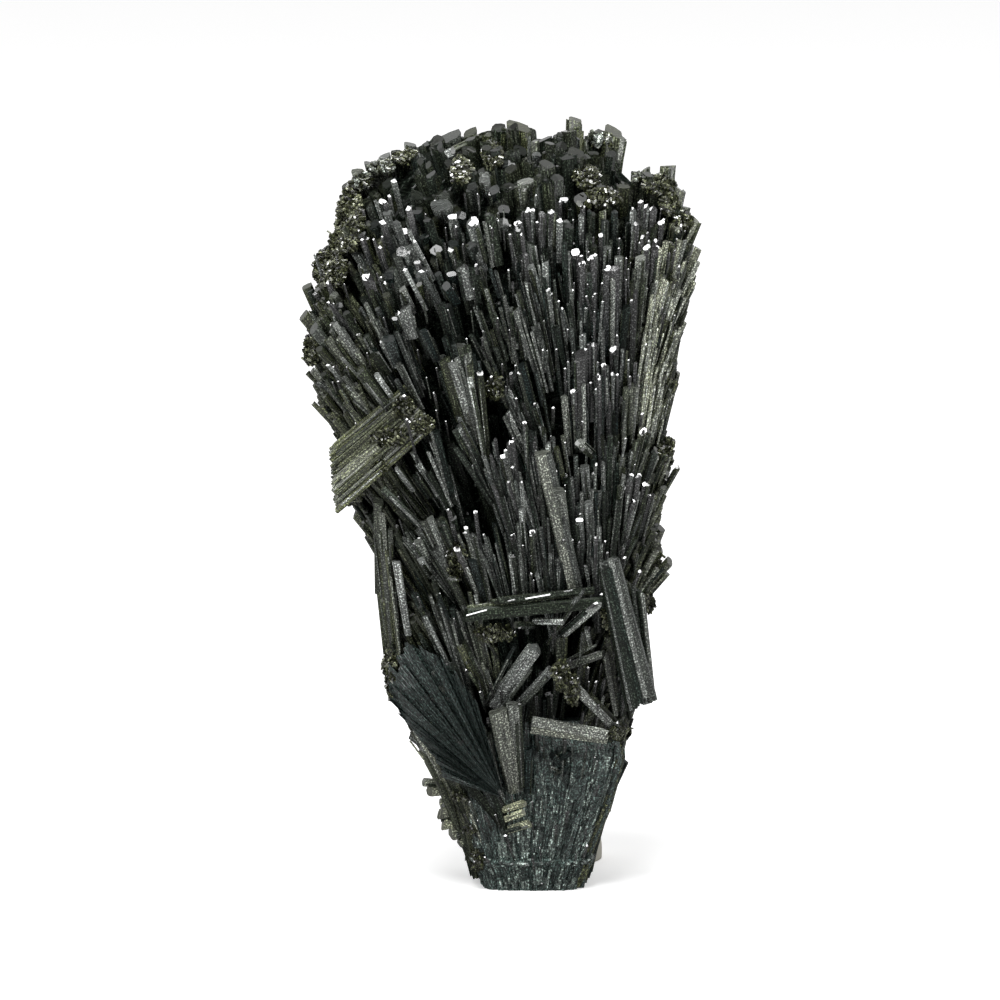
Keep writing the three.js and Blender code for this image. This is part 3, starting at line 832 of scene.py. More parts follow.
FANS = np.array([
    # middle x, height, half across, half up, apex x, height, least and most width, least and most
    # length, lift, rough, light, olive, flash
    # the left shoulder and flank
    (-22.5, 62.0, 3.8, 6.0, -11.0, 47.0, 0.5, 1.2, 4, 9, 0.4, 0.8, 0.5, 0.25, 0.05),
    (-23.5, 56.0, 2.2, 3.0, -13.0, 42.0, 0.4, 0.8, 5, 9, 0.6, 0.6, 0.7, 0.50, 0.00),
    (-16.5, 66.0, 4.0, 6.0, -9.0, 47.0, 0.6, 1.4, 3, 8, 0.4, 1.0, 0.5, 0.05, 0.10),
    (-17.0, 74.5, 4.5, 5.0, -8.0, 52.0, 0.8, 1.6, 3, 7, 0.6, 1.1, 0.4, 0.05, 0.30),
    (-11.0, 63.0, 2.6, 5.0, -6.0, 48.0, 0.5, 1.0, 3, 8, -0.8, 0.8, 0.2, 0.05, 0.00),
    (-10.0, 74.0, 4.0, 5.0, -4.0, 52.0, 0.8, 1.6, 3, 7, 0.4, 1.1, 0.35, 0.05, 0.08),
    (-8.2, 60.0, 2.4, 2.4, -5.0, 46.0, 0.4, 1.0, 7, 12, 2.0, 0.4, 0.9, 0.20, 0.00),
    # the upper middle: thin laths that lean left
    (-5.0, 66.0, 3.0, 6.0, 1.0, 46.0, 0.4, 0.9, 3, 8, 0.2, 0.8, 0.4, 0.15, 0.05),
    (0.2, 67.5, 2.6, 4.5, 4.2, 48.0, 0.3, 0.6, 5, 10, 0.9, 0.5, 0.7, 0.10, 0.02),
    (3.8, 65.5, 2.0, 3.0, 6.0, 48.0, 0.3, 0.6, 4, 8, 0.6, 0.5, 0.6, 0.05, 0.10),
    (-1.0, 74.5, 3.6, 3.6, 3.0, 50.0, 0.6, 1.2, 4, 8, 0.8, 0.8, 0.4, 0.05, 0.30),
    (-1.5, 56.0, 3.0, 4.0, 4.0, 40.0, 0.35, 0.8, 4, 8, -0.2, 0.6, 0.5, 0.05, 0.02),
    (3.0, 59.5, 1.8, 3.0, 5.0, 40.0, 0.4, 0.7, 4, 8, -1.6, 0.6, 0.1, 0.00, 0.15),
    # the right shoulder: long upright laths, then edges that lean right
    (6.5, 74.0, 3.6, 4.4, 7.3, 10.0, 0.5, 1.0, 6, 12, 0.8, 0.6, 0.4, 0.08, 0.30),
    (7.4, 62.0, 3.0, 6.0, 7.6, 0.0, 0.45, 0.9, 6, 12, 0.6, 0.6, 0.4, 0.00, 0.25),
    (12.2, 73.0, 2.6, 5.4, 9.0, 40.0, 0.5, 1.1, 6, 12, 0.9, 0.6, 0.5, 0.15, 0.55),
    (16.4, 71.5, 2.4, 5.0, 10.5, 52.0, 0.4, 1.1, 8, 14, 0.6, 0.5, 1.9, 0.40, 0.05),
    (14.9, 64.0, 2.2, 5.0, 10.0, 44.0, 0.2, 0.45, 5, 10, 0.6, 0.4, 2.6, 0.45, 0.02),
    (14.6, 57.5, 1.9, 4.2, 10.5, 34.0, 0.2, 0.45, 5, 10, 0.6, 0.4, 2.6, 0.45, 0.02),
    (11.2, 57.5, 1.4, 1.4, 10.2, 40.0, 0.5, 0.8, 5, 7, 0.9, 0.4, 0.8, 0.30, 0.00),
    # the two fans at the right of the middle
    (12.6, 50.6, 3.2, 2.2, 8.5, 37.0, 0.5, 0.9, 5, 9, 0.8, 0.5, 0.6, 0.25, 0.35),
    (11.6, 45.4, 2.6, 2.0, 8.5, 33.0, 0.5, 0.9, 6, 9, 1.6, 0.4, 0.6, 0.12, 0.60),
    (14.6, 44.0, 1.4, 2.0, 10.5, 36.0, 0.5, 0.8, 5, 8, 0.8, 0.4, 0.8, 0.45, 0.10),
    (9.0, 50.0, 1.4, 3.0, 8.6, 20.0, 0.4, 0.7, 7, 11, 0.8, 0.4, 0.7, 0.05, 0.10),
    # the middle
    (0.0, 49.0, 3.4, 4.4, 3.0, 31.0, 0.4, 0.8, 6, 12, 0.6, 0.6, 0.5, 0.05, 0.06),
    (-3.8, 47.5, 2.4, 4.4, 0.5, 30.0, 0.3, 0.7, 6, 12, 0.9, 0.6, 0.5, 0.05, 0.35),
    (5.6, 47.0, 2.2, 4.2, 6.0, 28.0, 0.35, 0.8, 6, 11, 0.8, 0.6, 0.5, 0.05, 0.05),
    (7.8, 43.0, 1.6, 4.0, 7.6, 24.0, 0.35, 0.7, 6, 11, 0.6, 0.5, 0.6, 0.05, 0.10),
    (-12.0, 49.0, 2.6, 3.4, -7.0, 38.0, 0.35, 0.8, 4, 8, -0.4, 0.6, 0.5, 0.05, 0.00),
    (-7.6, 51.0, 2.2, 2.6, -3.5, 42.0, 0.4, 0.8, 4, 8, 0.6, 0.5, 0.6, 0.05, 0.05),
    (-9.6, 40.6, 3.0, 2.2, -4.0, 28.0, 0.4, 0.9, 5, 10, 0.9, 0.5, 0.6, 0.15, 0.25),
    (-3.6, 39.0, 3.0, 3.4, -0.5, 22.0, 0.25, 0.6, 6, 10, 0.6, 0.4, 0.45, 0.05, 0.10),
    (1.6, 39.0, 2.6, 4.0, 2.5, 24.0, 0.35, 0.7, 5, 10, 0.2, 0.5, 0.35, 0.02, 0.05),
    # the left below the log
    (-17.4, 39.0, 1.5, 4.6, -15.0, 14.0, 0.45, 1.0, 8, 14, 0.4, 0.4, 0.8, 0.35, 0.00),
    (-13.0, 40.0, 2.4, 3.4, -7.0, 30.0, 0.35, 0.8, 6, 10, 0.2, 0.6, 0.5, 0.10, 0.02),
    (-12.0, 32.0, 2.6, 5.0, -5.0, 14.0, 0.35, 0.8, 8, 14, 0.4, 0.5, 0.35, 0.10, 0.00),
    (-8.0, 31.0, 2.0, 4.0, -4.0, 18.0, 0.4, 0.8, 7, 11, 0.6, 0.5, 0.5, 0.20, 0.00),
    (-6.0, 26.6, 2.2, 2.0, -3.0, 17.0, 0.3, 0.7, 5, 9, 0.4, 0.5, 0.6, 0.40, 0.02),
    # right of the bar, and the laths behind the sheaf
    (13.6, 37.8, 1.8, 2.4, 9.6, 30.0, 0.5, 1.0, 5, 8, 0.8, 0.4, 0.8, 0.35, 0.05),
    (7.0, 38.0, 1.4, 2.6, 8.0, 26.0, 0.35, 0.7, 5, 9, 0.2, 0.5, 0.3, 0.02, 0.05),
    (5.0, 29.0, 3.0, 1.6, 3.6, 12.0, 0.35, 0.8, 4, 7, -0.8, 0.6, 0.25, 0.30, 0.05),
    (9.4, 26.0, 1.6, 3.6, 11.5, 8.0, 0.45, 0.9, 5, 9, 0.2, 0.5, 0.4, 0.20, 0.05),
    (-2.0, 24.0, 2.4, 2.0, -2.0, 12.0, 0.35, 0.8, 4, 7, -1.4, 0.5, 0.1, 0.05, 0.00),
    # the laths round the smooth fan at the lower left
    (-12.4, 23.4, 3.8, 3.4, -3.2, 9.0, 0.6, 1.1, 9, 15, 1.4, 0.10, 0.3, 0.05, 0.00),
    (-11.0, 18.6, 4.2, 3.6, -3.2, 8.0, 0.6, 1.1, 7, 12, 1.4, 0.10, 0.3, 0.05, 0.01),
    (-7.4, 15.2, 2.6, 4.0, -2.6, 5.0, 0.6, 1.0, 6, 10, 1.3, 0.10, 0.3, 0.05, 0.01),
    (-14.2, 19.0, 0.5, 3.4, -9.8, 10.4, 0.25, 0.4, 7, 10, 1.5, 0.10, 1.8, 0.50, 0.00),
])
print("fans:", len(FANS))

# %% [markdown]
# ## Laths of the front
# Light on the front is uneven: most laths of a fan are nearly black and a few
# catch it. That light is painted into the colour: the share of grey is a
# random number to the fourth power. On the pale rims it is even. A lath is
# also painted darker at its root and paler at its tip, as painted shade and
# painted light.

# %% Laths of the front
# A lath that catches the light is painted towards this grey: painted light.
PAINTED_LIGHT_GREY = np.array([0.112, 0.120, 0.113])
TEAL_SHARE = 0.6
LATH_FLAT, LATH_TAPER = (0.5, 0.9), (0.85, 1.0)    # thickness and root's width, over the width
# A lath's root is painted darker, as painted shade, and its tip paler, as painted light, here and on the next line
# for thin laths.
ROOT_PAINTED_SHADE, TIP_PAINTED_LIGHT = 0.75, (1.0, 1.5)       # the root is darker and the tip paler than the tint
FINE_TIP_PAINTED_LIGHT = 1.2
EVENLY_LIT = 1.25                # above this light all laths of a fan are pale
# The flat sides of the laths turn with the body, x in mm and radians.
FLANK_TURN = np.array([(-22.0, -0.34), (-9.0, -0.05), (6.0, 0.05), (14.0, 0.43)])
ROOTED = 0.4                     # how far every root lies inside the body, mm
FLASH_PROUD = 0.5                # how far a crystal that flashes stands in front, mm


def tinted(count, light, olive):
    """Black-green moved towards grey and then towards olive, each by a random part.

    The grey is painted light. Its part is 3 r^4 for a random r, so few laths
    are painted pale, and 0.45 + 0.75 r where the fan is evenly lit; there the
    rims turn a paler tan, which is painted light too.
    """
    part = rng.random(count)
    even = np.broadcast_to(light, count) > EVENLY_LIT
    part = np.where(even, 0.45 + 0.75 * part, 3.0 * part**4)
    light = (light * part).clip(0, 3.0)[:, None]
    olive = (olive * rng.uniform(0.2, 1.6, count)).clip(0, 1)[:, None]
    teal = (rng.random(count) * TEAL_SHARE)[:, None]
    base = BLACK_GREEN + teal * (TEAL - BLACK_GREEN)
    base = base + light * (PAINTED_LIGHT_GREY - base)
    rim = np.where(even[:, None], TAN * 1.7, OLIVE * 1.3)
    return base + olive * (rim - base)


def front_laths(section, tip_x, tip_up, root_x, root_up, width, lift, light, olive,
                drop=None, turn=FAN_TURN, flash=None):
    """Laths whose ends are given as they look from the camera; the body gives the depth.

    The drop is how much deeper the root lies than the tip. Without one it is
    a random share of the length.
    """
    count = len(tip_x)
    length = np.hypot(tip_x - root_x, tip_up - root_up)
    depth = front_depth(tip_x, tip_up) - lift - (0.0 if flash is None else FLASH_PROUD * flash)
    drop = rng.uniform(*SINK, count) * length if drop is None else drop
    tip = seen(tip_x, tip_up, depth)
    root = seen(root_x, root_up, np.maximum(depth + drop, front_depth(root_x, root_up) + ROOTED))
    widths = width * MM
    root_tint = tinted(count, light, olive)
    # The tip is painted paler and the root darker: painted light and shade.
    lit = root_tint * rng.uniform(*TIP_PAINTED_LIGHT, count)[:, None]
    aside = np.interp(tip_x, *FLANK_TURN.T)
    facing = np.stack([np.sin(aside), -np.cos(aside), 0 * aside], axis=-1)
    return (root, tip, widths, facing), lath_mesh(
        section, root, tip, widths, rng.uniform(*LATH_FLAT, count), rng.normal(0, turn, count),
        facing, random_slopes(count), rng.uniform(*LATH_TAPER, count), root_tint * ROOT_PAINTED_SHADE, lit, flash,
    )


def fine_laths(main, each, light, olive, shorten=0.2):
    """The thin laths that grew onto the sides of the main ones."""
    root, tip, widths, facing = companions(*main, each, shorten=shorten)
    tint = tinted(len(root), light, olive)
    # Painted shade at the root, painted light at the tip.
    return lath_mesh(
        FINE_SECTION, root, tip, widths, rng.uniform(0.6, 1, len(root)), rng.normal(0, 0.4, len(root)),
        facing, random_slopes(len(root)), np.ones(len(root)), tint * ROOT_PAINTED_SHADE, tint * FINE_TIP_PAINTED_LIGHT)


# %% [markdown]
# ## Filling a fan
# Tips that are simply random leave bare spots and clumps. Steps of the golden
# angle, as in a sunflower, spread them evenly over the ellipse, and a small
# random shift hides the pattern.

# %% The fans
def fan_parts(row):
    """One fan: tips evenly over an ellipse, roots towards the apex."""
    (x, up, across, tall, apex_x, apex_up, thin, wide, short, long,
     lift, rough, light, olive, flash) = row
    smooth = rough < SMOOTH
    count = int(np.pi * across * tall / ((IN_SIGHT / 2 if smooth else IN_SIGHT) * (thin + wide) / 2)) + 1
    index = np.arange(count) + rng.uniform(-0.3, 0.3, count)
    reach, turn = np.sqrt((index + 0.5).clip(0) / count), index * GOLDEN_ANGLE
    tip_x, tip_up = x + across * reach * np.cos(turn), up + tall * reach * np.sin(turn)
    kept = outside_hollows(tip_x, tip_up)
    tip_x, tip_up, count = tip_x[kept], tip_up[kept], kept.sum()
    away = np.arctan2(apex_x - tip_x, tip_up - apex_up) + rng.normal(0, 0.02, count)
    length = rng.uniform(short, long, count)
    width = thin + (wide - thin) * rng.random(count) ** 1.3
    main, part = front_laths(
        BLUNT_SECTION, tip_x, tip_up, tip_x + length * np.sin(away), tip_up - length * np.cos(away),
        width, lift + rng.normal(0, rough, count), light, olive,
        drop=length * (SINK_SMOOTH if smooth else rng.uniform(*SINK, count)),
        turn=SMOOTH_TURN if smooth else RIM_TURN if light > EVENLY_LIT else FAN_TURN,
        flash=rng.random(count) < flash * FLASH_SHARE)
    return [part] if smooth else [part, fine_laths(main, 2, light, olive)]


put_mesh(
    "fan_crystals", [part for row in FANS for part in fan_parts(row)], EPIDOTE, SPRAY_NODE)

# %% [markdown]
# ## Where an end flashes
# The bright ends are what one remembers of the specimen. A list holds their
# places: a crystal that ends there gets a slanting end face, and a small one
# is added beside it.

# %% Places that flash
GLINTS = np.array([
    # x, height, width of the crystal
    (9.4, 71.2, 1.2), (8.5, 71.1, 0.8), (14.1, 73.6, 0.9), (13.1, 73.6, 0.8), (5.9, 61.8, 0.7), (6.4, 62.4, 0.6),
    (11.2, 47.0, 0.7), (12.1, 47.1, 0.8), (-7.2, 76.5, 1.0), (-17.6, 76.6, 0.9), (-16.0, 76.6, 1.0),
    (-19.2, 70.3, 1.2), (-16.3, 81.4, 0.8), (5.6, 71.9, 0.7), (5.5, 72.7, 0.5), (7.1, 72.8, 0.6), (12.6, 74.9, 0.6),
    (13.2, 75.4, 0.4), (14.8, 76.5, 0.5), (12.4, 79.0, 0.8), (13.0, 78.5, 0.7), (13.9, 78.2, 0.8),
    (11.4, 78.2, 0.5), (3.1, 79.1, 0.5), (-0.8, 77.9, 0.6), (-0.2, 77.9, 0.6), (1.0, 77.6, 0.7),
    (2.0, 77.8, 0.9), (-1.8, 76.6, 0.9), (3.0, 76.8, 0.8), (-20.0, 75.2, 0.6), (-20.0, 74.6, 0.5),
    (-18.6, 74.6, 0.4), (-14.0, 74.4, 0.7), (-14.6, 75.6, 0.6), (-14.6, 78.2, 0.8), (-15.0, 71.1, 0.6),
    (-13.1, 70.9, 0.8), (-23.9, 69.6, 0.7), (-25.5, 68.3, 0.6), (-25.5, 72.9, 0.4), (-23.8, 67.3, 0.6),
    (-24.0, 60.0, 0.5), (4.6, 57.0, 0.6), (8.2, 60.0, 0.4), (9.7, 63.5, 0.4), (11.8, 60.2, 0.5),
    (9.7, 58.9, 0.4), (11.2, 58.7, 0.4), (7.4, 58.9, 0.4), (-1.1, 53.2, 0.4), (12.7, 52.3, 0.5),
    (10.7, 51.5, 0.4), (13.0, 46.1, 0.6), (13.6, 44.9, 0.5), (-3.0, 46.4, 0.5), (-1.5, 46.4, 0.5),
    (-4.5, 51.4, 0.5), (-3.3, 50.1, 0.5), (-2.4, 51.5, 0.3), (-5.0, 49.6, 0.4), (-0.2, 40.7, 0.5),
    (-9.9, 43.2, 0.6), (-6.8, 42.8, 0.5), (-5.8, 40.3, 0.4), (7.2, 32.3, 0.5), (10.7, 72.4, 0.3),
    (10.7, 69.9, 0.3), (11.0, 71.2, 0.3), (7.1, 68.3, 0.4), (6.1, 68.0, 0.3), (8.0, 67.4, 0.3),
    (7.0, 66.2, 0.3), (-17.4, 79.0, 0.6), (-18.4, 79.1, 0.5), (-17.9, 73.7, 0.5), (-18.3, 70.7, 0.3),
    (-1.4, 75.2, 0.5), (-2.8, 75.2, 0.4), (5.8, 78.4, 0.4), (11.0, 60.6, 0.3), (4.0, 59.1, 0.25),
    (3.6, 59.6, 0.3), (4.0, 60.4, 0.3), (6.2, 57.9, 0.3), (7.2, 57.2, 0.3), (-14.8, 53.7, 0.35),
])


# %% [markdown]
# ## Crystals that one would remember
# The larger laths, blocks and slabs stand where a collector would look first.
# Each row is one crystal, again as it looks from the camera: its two ends,
# its width, how far it stands out, how pale and how olive it is.

# %% The table of single crystals
SINGLES = np.array([
    # tip x, height, root x, height, width, lift, light, olive
    # upper right: long upright laths with bright ends
    (9.4, 71.3, 9.3, 61.0, 1.15, 2.2, 0.8, 0.0), (8.5, 71.3, 8.2, 61.0, 0.9, 2.0, 0.6, 0.0),
    (10.8, 66.9, 9.9, 58.0, 0.85, 1.8, 0.6, 0.0), (5.6, 71.8, 5.5, 65.0, 0.8, 1.6, 0.5, 0.0),
    (6.9, 72.6, 7.0, 66.0, 0.85, 1.6, 0.4, 0.0), (12.4, 72.5, 11.9, 64.0, 1.3, 1.6, 0.7, 0.3),
    (14.1, 73.6, 13.2, 65.0, 0.95, 1.6, 0.7, 0.3), (13.1, 73.7, 12.5, 65.0, 0.9, 1.2, 0.6, 0.2),
    (9.4, 77.9, 9.1, 71.0, 0.8, 1.8, 0.7, 0.0), (8.0, 78.0, 7.9, 71.5, 0.85, 1.6, 0.6, 0.4),
    (5.5, 77.6, 5.5, 71.5, 0.65, 1.6, 0.5, 0.0), (6.7, 77.6, 6.7, 72.0, 0.9, 1.4, 0.3, 0.1),
    (3.8, 76.3, 3.7, 71.5, 1.7, 1.6, 0.5, 0.1), (2.0, 77.8, 1.8, 73.0, 0.9, 1.8, 0.4, 0.1),
    (1.0, 77.6, 0.9, 73.4, 0.9, 1.8, 0.5, 0.0), (-0.2, 78.0, 0.0, 74.0, 0.6, 1.8, 0.5, 0.0),
    (-0.8, 78.0, -0.5, 74.4, 0.7, 1.8, 0.5, 0.0), (-1.8, 76.5, -1.4, 73.4, 1.1, 2.0, 0.7, 0.0),
    (-0.9, 81.2, -0.6, 77.6, 1.4, 1.2, 0.6, 0.2), (-1.9, 80.8, -1.5, 77.6, 0.9, 1.0, 0.6, 0.2),
    (0.3, 80.8, 0.4, 77.6, 0.9, 1.0, 0.5, 0.2), (-5.2, 77.6, -4.1, 71.6, 1.25, 2.0, 0.9, 0.3),
    (-7.2, 76.7, -6.0, 72.0, 1.5, 2.2, 0.5, 0.1), (13.0, 78.4, 12.8, 75.0, 0.8, 1.2, 0.5, 0.0),
    (13.9, 78.2, 13.6, 75.0, 0.9, 1.2, 0.6, 0.1), (11.6, 78.2, 11.5, 74.0, 0.6, 1.2, 0.5, 0.0),
    (11.0, 76.6, 11.0, 73.0, 0.7, 1.2, 0.5, 0.0), (14.8, 76.6, 14.4, 73.0, 0.8, 1.0, 0.4, 0.0),
    # the right shoulder's long edges
    (18.8, 76.8, 15.0, 67.8, 0.8, 0.8, 1.6, 0.4), (17.0, 74.5, 14.8, 67.0, 1.0, 1.4, 1.6, 0.3),
    (19.1, 73.6, 15.8, 65.6, 0.9, 0.8, 1.4, 0.6), (19.1, 72.0, 16.0, 65.0, 0.6, 0.9, 1.8, 0.4),
    (18.7, 69.7, 15.9, 64.0, 0.5, 0.9, 1.8, 0.4), (16.0, 74.2, 14.4, 68.0, 0.8, 1.2, 0.8, 0.4),
    (17.6, 65.0, 14.4, 58.0, 0.5, 0.6, 1.8, 0.4), (16.4, 58.4, 14.6, 53.6, 1.0, 0.6, 0.7, 0.9),
    # upper middle: thin laths that lean left
    (0.1, 68.4, 1.4, 62.8, 0.3, 1.4, 1.0, 0.0), (1.0, 69.0, 1.9, 62.0, 0.3, 1.4, 1.0, 0.0),
    (0.3, 70.4, 1.4, 65.0, 0.4, 1.6, 0.9, 0.0), (1.0, 72.8, 1.9, 66.0, 0.5, 1.6, 0.8, 0.2),
    (-1.2, 66.4, -0.5, 63.0, 0.45, 1.2, 0.8, 0.0), (0.5, 64.0, 1.1, 61.0, 0.7, 1.4, 0.6, 0.0),
    (2.8, 70.8, 3.5, 67.2, 0.35, 1.2, 0.7, 0.0), (3.2, 66.6, 4.2, 62.8, 0.4, 1.2, 0.6, 0.0),
    (-0.4, 71.5, 0.7, 68.4, 0.9, 1.2, 0.4, 0.0), (-5.1, 71.2, -4.0, 67.8, 0.45, 1.6, 0.8, 0.0),
    (-4.5, 71.0, -3.6, 67.6, 0.4, 1.6, 0.8, 0.0), (-4.6, 66.2, -3.2, 62.8, 0.35, 1.4, 0.7, 0.1),
    # middle: chisel-ended laths and their neighbours
    (5.4, 61.4, 5.6, 50.0, 1.2, 2.4, 0.8, 0.1), (3.5, 56.4, 4.1, 49.6, 0.8, 2.2, 1.0, 0.2),
    (4.6, 56.9, 4.9, 50.4, 0.8, 1.4, 0.3, 0.0), (-1.5, 60.0, -0.2, 55.0, 0.85, 1.8, 1.0, 0.0),
    (-4.6, 59.9, -3.7, 57.4, 0.5, 1.4, 0.9, 0.0), (0.0, 55.1, 0.8, 52.6, 0.5, 1.4, 0.9, 0.1),
    (0.2, 59.2, 1.4, 55.0, 0.4, 1.0, 0.5, 0.0), (10.7, 57.3, 10.4, 52.0, 0.7, 1.6, 1.0, 0.3),
    (11.3, 57.7, 11.0, 52.0, 0.7, 1.4, 0.9, 0.3), (12.0, 57.6, 11.5, 52.0, 0.6, 1.2, 0.8, 0.4),
    (8.9, 51.8, 8.6, 42.5, 0.65, 2.0, 0.9, 0.1), (8.1, 60.0, 8.2, 54.0, 0.6, 1.2, 0.4, 0.0),
    (7.0, 62.4, 7.0, 56.0, 0.7, 1.2, 0.4, 0.0), (9.2, 59.0, 9.1, 54.0, 0.5, 1.2, 0.4, 0.0),
    (5.2, 51.1, 7.0, 49.4, 1.1, 2.2, 0.9, 0.3), (5.9, 48.3, 6.3, 43.0, 1.05, 2.2, 0.7, 0.0),
    (6.3, 44.0, 6.5, 39.0, 0.9, 2.4, 0.6, 0.0), (-1.1, 53.3, -0.6, 45.0, 0.5, 1.8, 0.9, 0.0),
    (-0.4, 52.3, 0.4, 45.6, 0.65, 1.6, 0.7, 0.0), (1.1, 52.7, 1.6, 49.8, 0.6, 1.6, 0.7, 0.1),
    (1.0, 49.8, 4.9, 33.0, 1.9, 2.4, 1.3, 0.2), (2.9, 45.4, 3.9, 39.0, 1.35, 3.2, 0.9, 0.3),
    (3.3, 51.8, 4.3, 45.8, 0.5, 1.6, 0.6, 0.2), (2.6, 50.4, 3.8, 45.0, 0.7, 1.6, 0.5, 0.3),
    (-2.9, 51.0, -1.8, 44.0, 0.7, 1.4, 0.7, 0.0), (-4.9, 48.6, -3.6, 43.6, 0.4, 1.6, 0.8, 0.0),
    (-5.4, 47.4, -3.9, 42.6, 0.35, 1.6, 0.8, 0.0), (-3.5, 49.4, -2.2, 44.0, 0.9, 1.2, 0.5, 0.0),
    # the two fans on the right
    (12.7, 52.3, 11.2, 46.4, 0.8, 1.6, 0.8, 0.3), (11.9, 51.2, 11.1, 47.0, 0.7, 1.8, 0.7, 0.2),
    (13.3, 50.8, 12.0, 47.0, 0.6, 1.8, 0.7, 0.3), (14.1, 50.0, 13.0, 46.6, 1.0, 1.8, 0.6, 0.2),
    (15.2, 49.8, 13.6, 45.6, 1.0, 1.6, 0.7, 0.5), (15.8, 49.4, 13.9, 44.6, 0.5, 1.8, 1.0, 0.5),
    (16.8, 48.2, 14.2, 43.6, 0.7, 1.4, 1.0, 0.7), (11.2, 47.1, 10.3, 39.6, 0.8, 2.6, 0.8, 0.2),
    (12.1, 47.1, 10.9, 39.4, 0.8, 2.6, 0.8, 0.2), (13.0, 46.2, 11.6, 39.6, 0.8, 2.6, 0.8, 0.2),
    (13.6, 44.8, 12.2, 39.6, 0.8, 2.4, 0.7, 0.2), (10.0, 46.0, 9.5, 40.0, 0.6, 2.2, 0.8, 0.2),
    (11.8, 39.9, 10.0, 36.0, 0.55, 2.4, 0.9, 0.2), (13.9, 40.9, 12.2, 37.0, 0.8, 1.8, 0.8, 0.3),
    (15.8, 37.2, 12.6, 33.8, 1.1, 1.8, 0.9, 0.5), (15.4, 35.8, 12.6, 32.6, 0.8, 1.6, 0.8, 0.5),
    (13.0, 39.0, 11.4, 36.0, 0.6, 1.8, 0.5, 0.1), (14.8, 38.6, 12.4, 35.2, 0.9, 1.6, 0.6, 0.4),
    # middle low, above the bar
    (-1.5, 43.2, -1.0, 38.0, 0.6, 2.0, 0.9, 0.0), (-0.2, 40.6, 0.0, 35.6, 0.65, 2.2, 0.8, 0.0),
    (5.3, 42.0, 5.6, 38.2, 0.9, 2.0, 0.6, 0.0), (7.2, 45.2, 7.4, 38.0, 0.45, 1.8, 0.8, 0.0),
    (1.9, 38.1, 1.9, 35.4, 0.4, 1.8, 0.9, 0.0), (-7.2, 37.3, -5.6, 32.2, 0.9, 2.4, 1.0, 0.0),
    (-7.8, 36.4, -6.1, 32.2, 0.35, 2.4, 1.0, 0.2), (-9.6, 35.2, -8.0, 31.8, 1.0, 2.4, 1.0, 0.4),
    (-4.5, 41.2, -2.8, 34.6, 0.3, 2.2, 1.0, 0.1), (-12.1, 42.2, -9.8, 37.0, 0.95, 2.0, 0.8, 0.3),
    (-10.7, 41.9, -8.7, 37.2, 0.7, 2.2, 0.8, 0.1), (-9.4, 42.2, -8.8, 39.6, 0.85, 2.4, 0.9, 0.1),
    (-8.0, 40.5, -6.6, 37.4, 0.45, 2.0, 0.7, 0.0), (-6.8, 42.9, -6.4, 40.2, 0.5, 2.4, 1.0, 0.0),
    # left: diagonals below the log and the outer column
    (-17.7, 45.7, -12.9, 41.0, 0.95, 2.6, 1.0, 0.1), (-16.0, 43.1, -13.9, 40.9, 0.5, 2.4, 0.8, 0.1),
    (-13.5, 39.5, -12.0, 37.0, 1.0, 2.2, 1.0, 0.1), (-13.2, 37.4, -12.0, 35.6, 0.8, 2.4, 0.9, 0.0),
    (-14.9, 40.6, -12.2, 36.0, 0.35, 2.2, 0.9, 0.1), (-11.9, 35.4, -9.1, 29.0, 0.35, 2.4, 1.0, 0.1),
    (-11.1, 33.2, -9.1, 28.8, 0.5, 2.4, 1.0, 0.0), (-12.7, 30.8, -7.3, 19.4, 0.55, 2.0, 0.9, 0.0),
    (-11.5, 25.6, -9.2, 20.4, 0.55, 1.8, 0.9, 0.0), (-16.0, 37.1, -14.6, 28.6, 1.0, 2.0, 0.9, 0.0),
    (-16.8, 36.8, -16.2, 32.0, 0.35, 1.8, 1.0, 0.2), (-18.1, 44.2, -18.0, 33.6, 1.2, 1.0, 0.7, 0.4),
    (-17.3, 33.0, -16.4, 28.0, 1.1, 1.2, 0.8, 0.5), (-8.6, 27.3, -5.6, 21.2, 0.8, 1.8, 1.0, 0.4),
    (-7.6, 24.2, -5.4, 21.0, 0.35, 2.0, 1.0, 0.4), (-5.6, 28.0, -3.7, 25.2, 0.3, 1.4, 0.8, 0.3),
    # left of the middle: the pale fan and the lath beside the log
    (-10.4, 60.7, -8.5, 53.6, 1.3, 2.4, 1.0, 0.3), (-9.5, 60.2, -7.0, 52.0, 1.1, 2.8, 1.0, 0.2),
    (-8.6, 62.3, -7.0, 55.0, 0.8, 2.6, 0.7, 0.2), (-7.8, 62.3, -6.3, 52.0, 0.9, 2.6, 0.9, 0.1),
    (-7.0, 61.2, -5.6, 51.8, 0.45, 2.6, 1.0, 0.0), (-6.4, 60.4, -5.4, 51.6, 0.4, 2.4, 0.8, 0.0),
    (-9.2, 52.4, -7.2, 48.4, 0.7, 2.2, 0.9, 0.1), (-8.8, 54.0, -5.8, 48.2, 0.6, 2.0, 0.7, 0.0),
    (-11.4, 52.3, -9.5, 44.8, 0.85, 2.4, 0.8, 0.0), (-13.9, 47.2, -12.1, 44.6, 0.6, 1.8, 0.9, 0.0),
    (-13.7, 48.4, -11.7, 45.6, 0.3, 1.8, 0.9, 0.0), (-16.0, 48.0, -14.0, 45.4, 0.55, 1.6, 0.8, 0.0),
    # upper left: stout laths that lean left
    (-12.9, 64.0, -11.3, 60.6, 0.95, 2.0, 1.0, 0.0), (-13.6, 64.2, -12.2, 60.8, 0.45, 2.0, 1.0, 0.0),
    (-10.0, 67.0, -8.9, 63.6, 0.8, 1.8, 0.8, 0.0), (-10.2, 69.2, -9.0, 67.2, 1.0, 1.8, 0.4, 0.0),
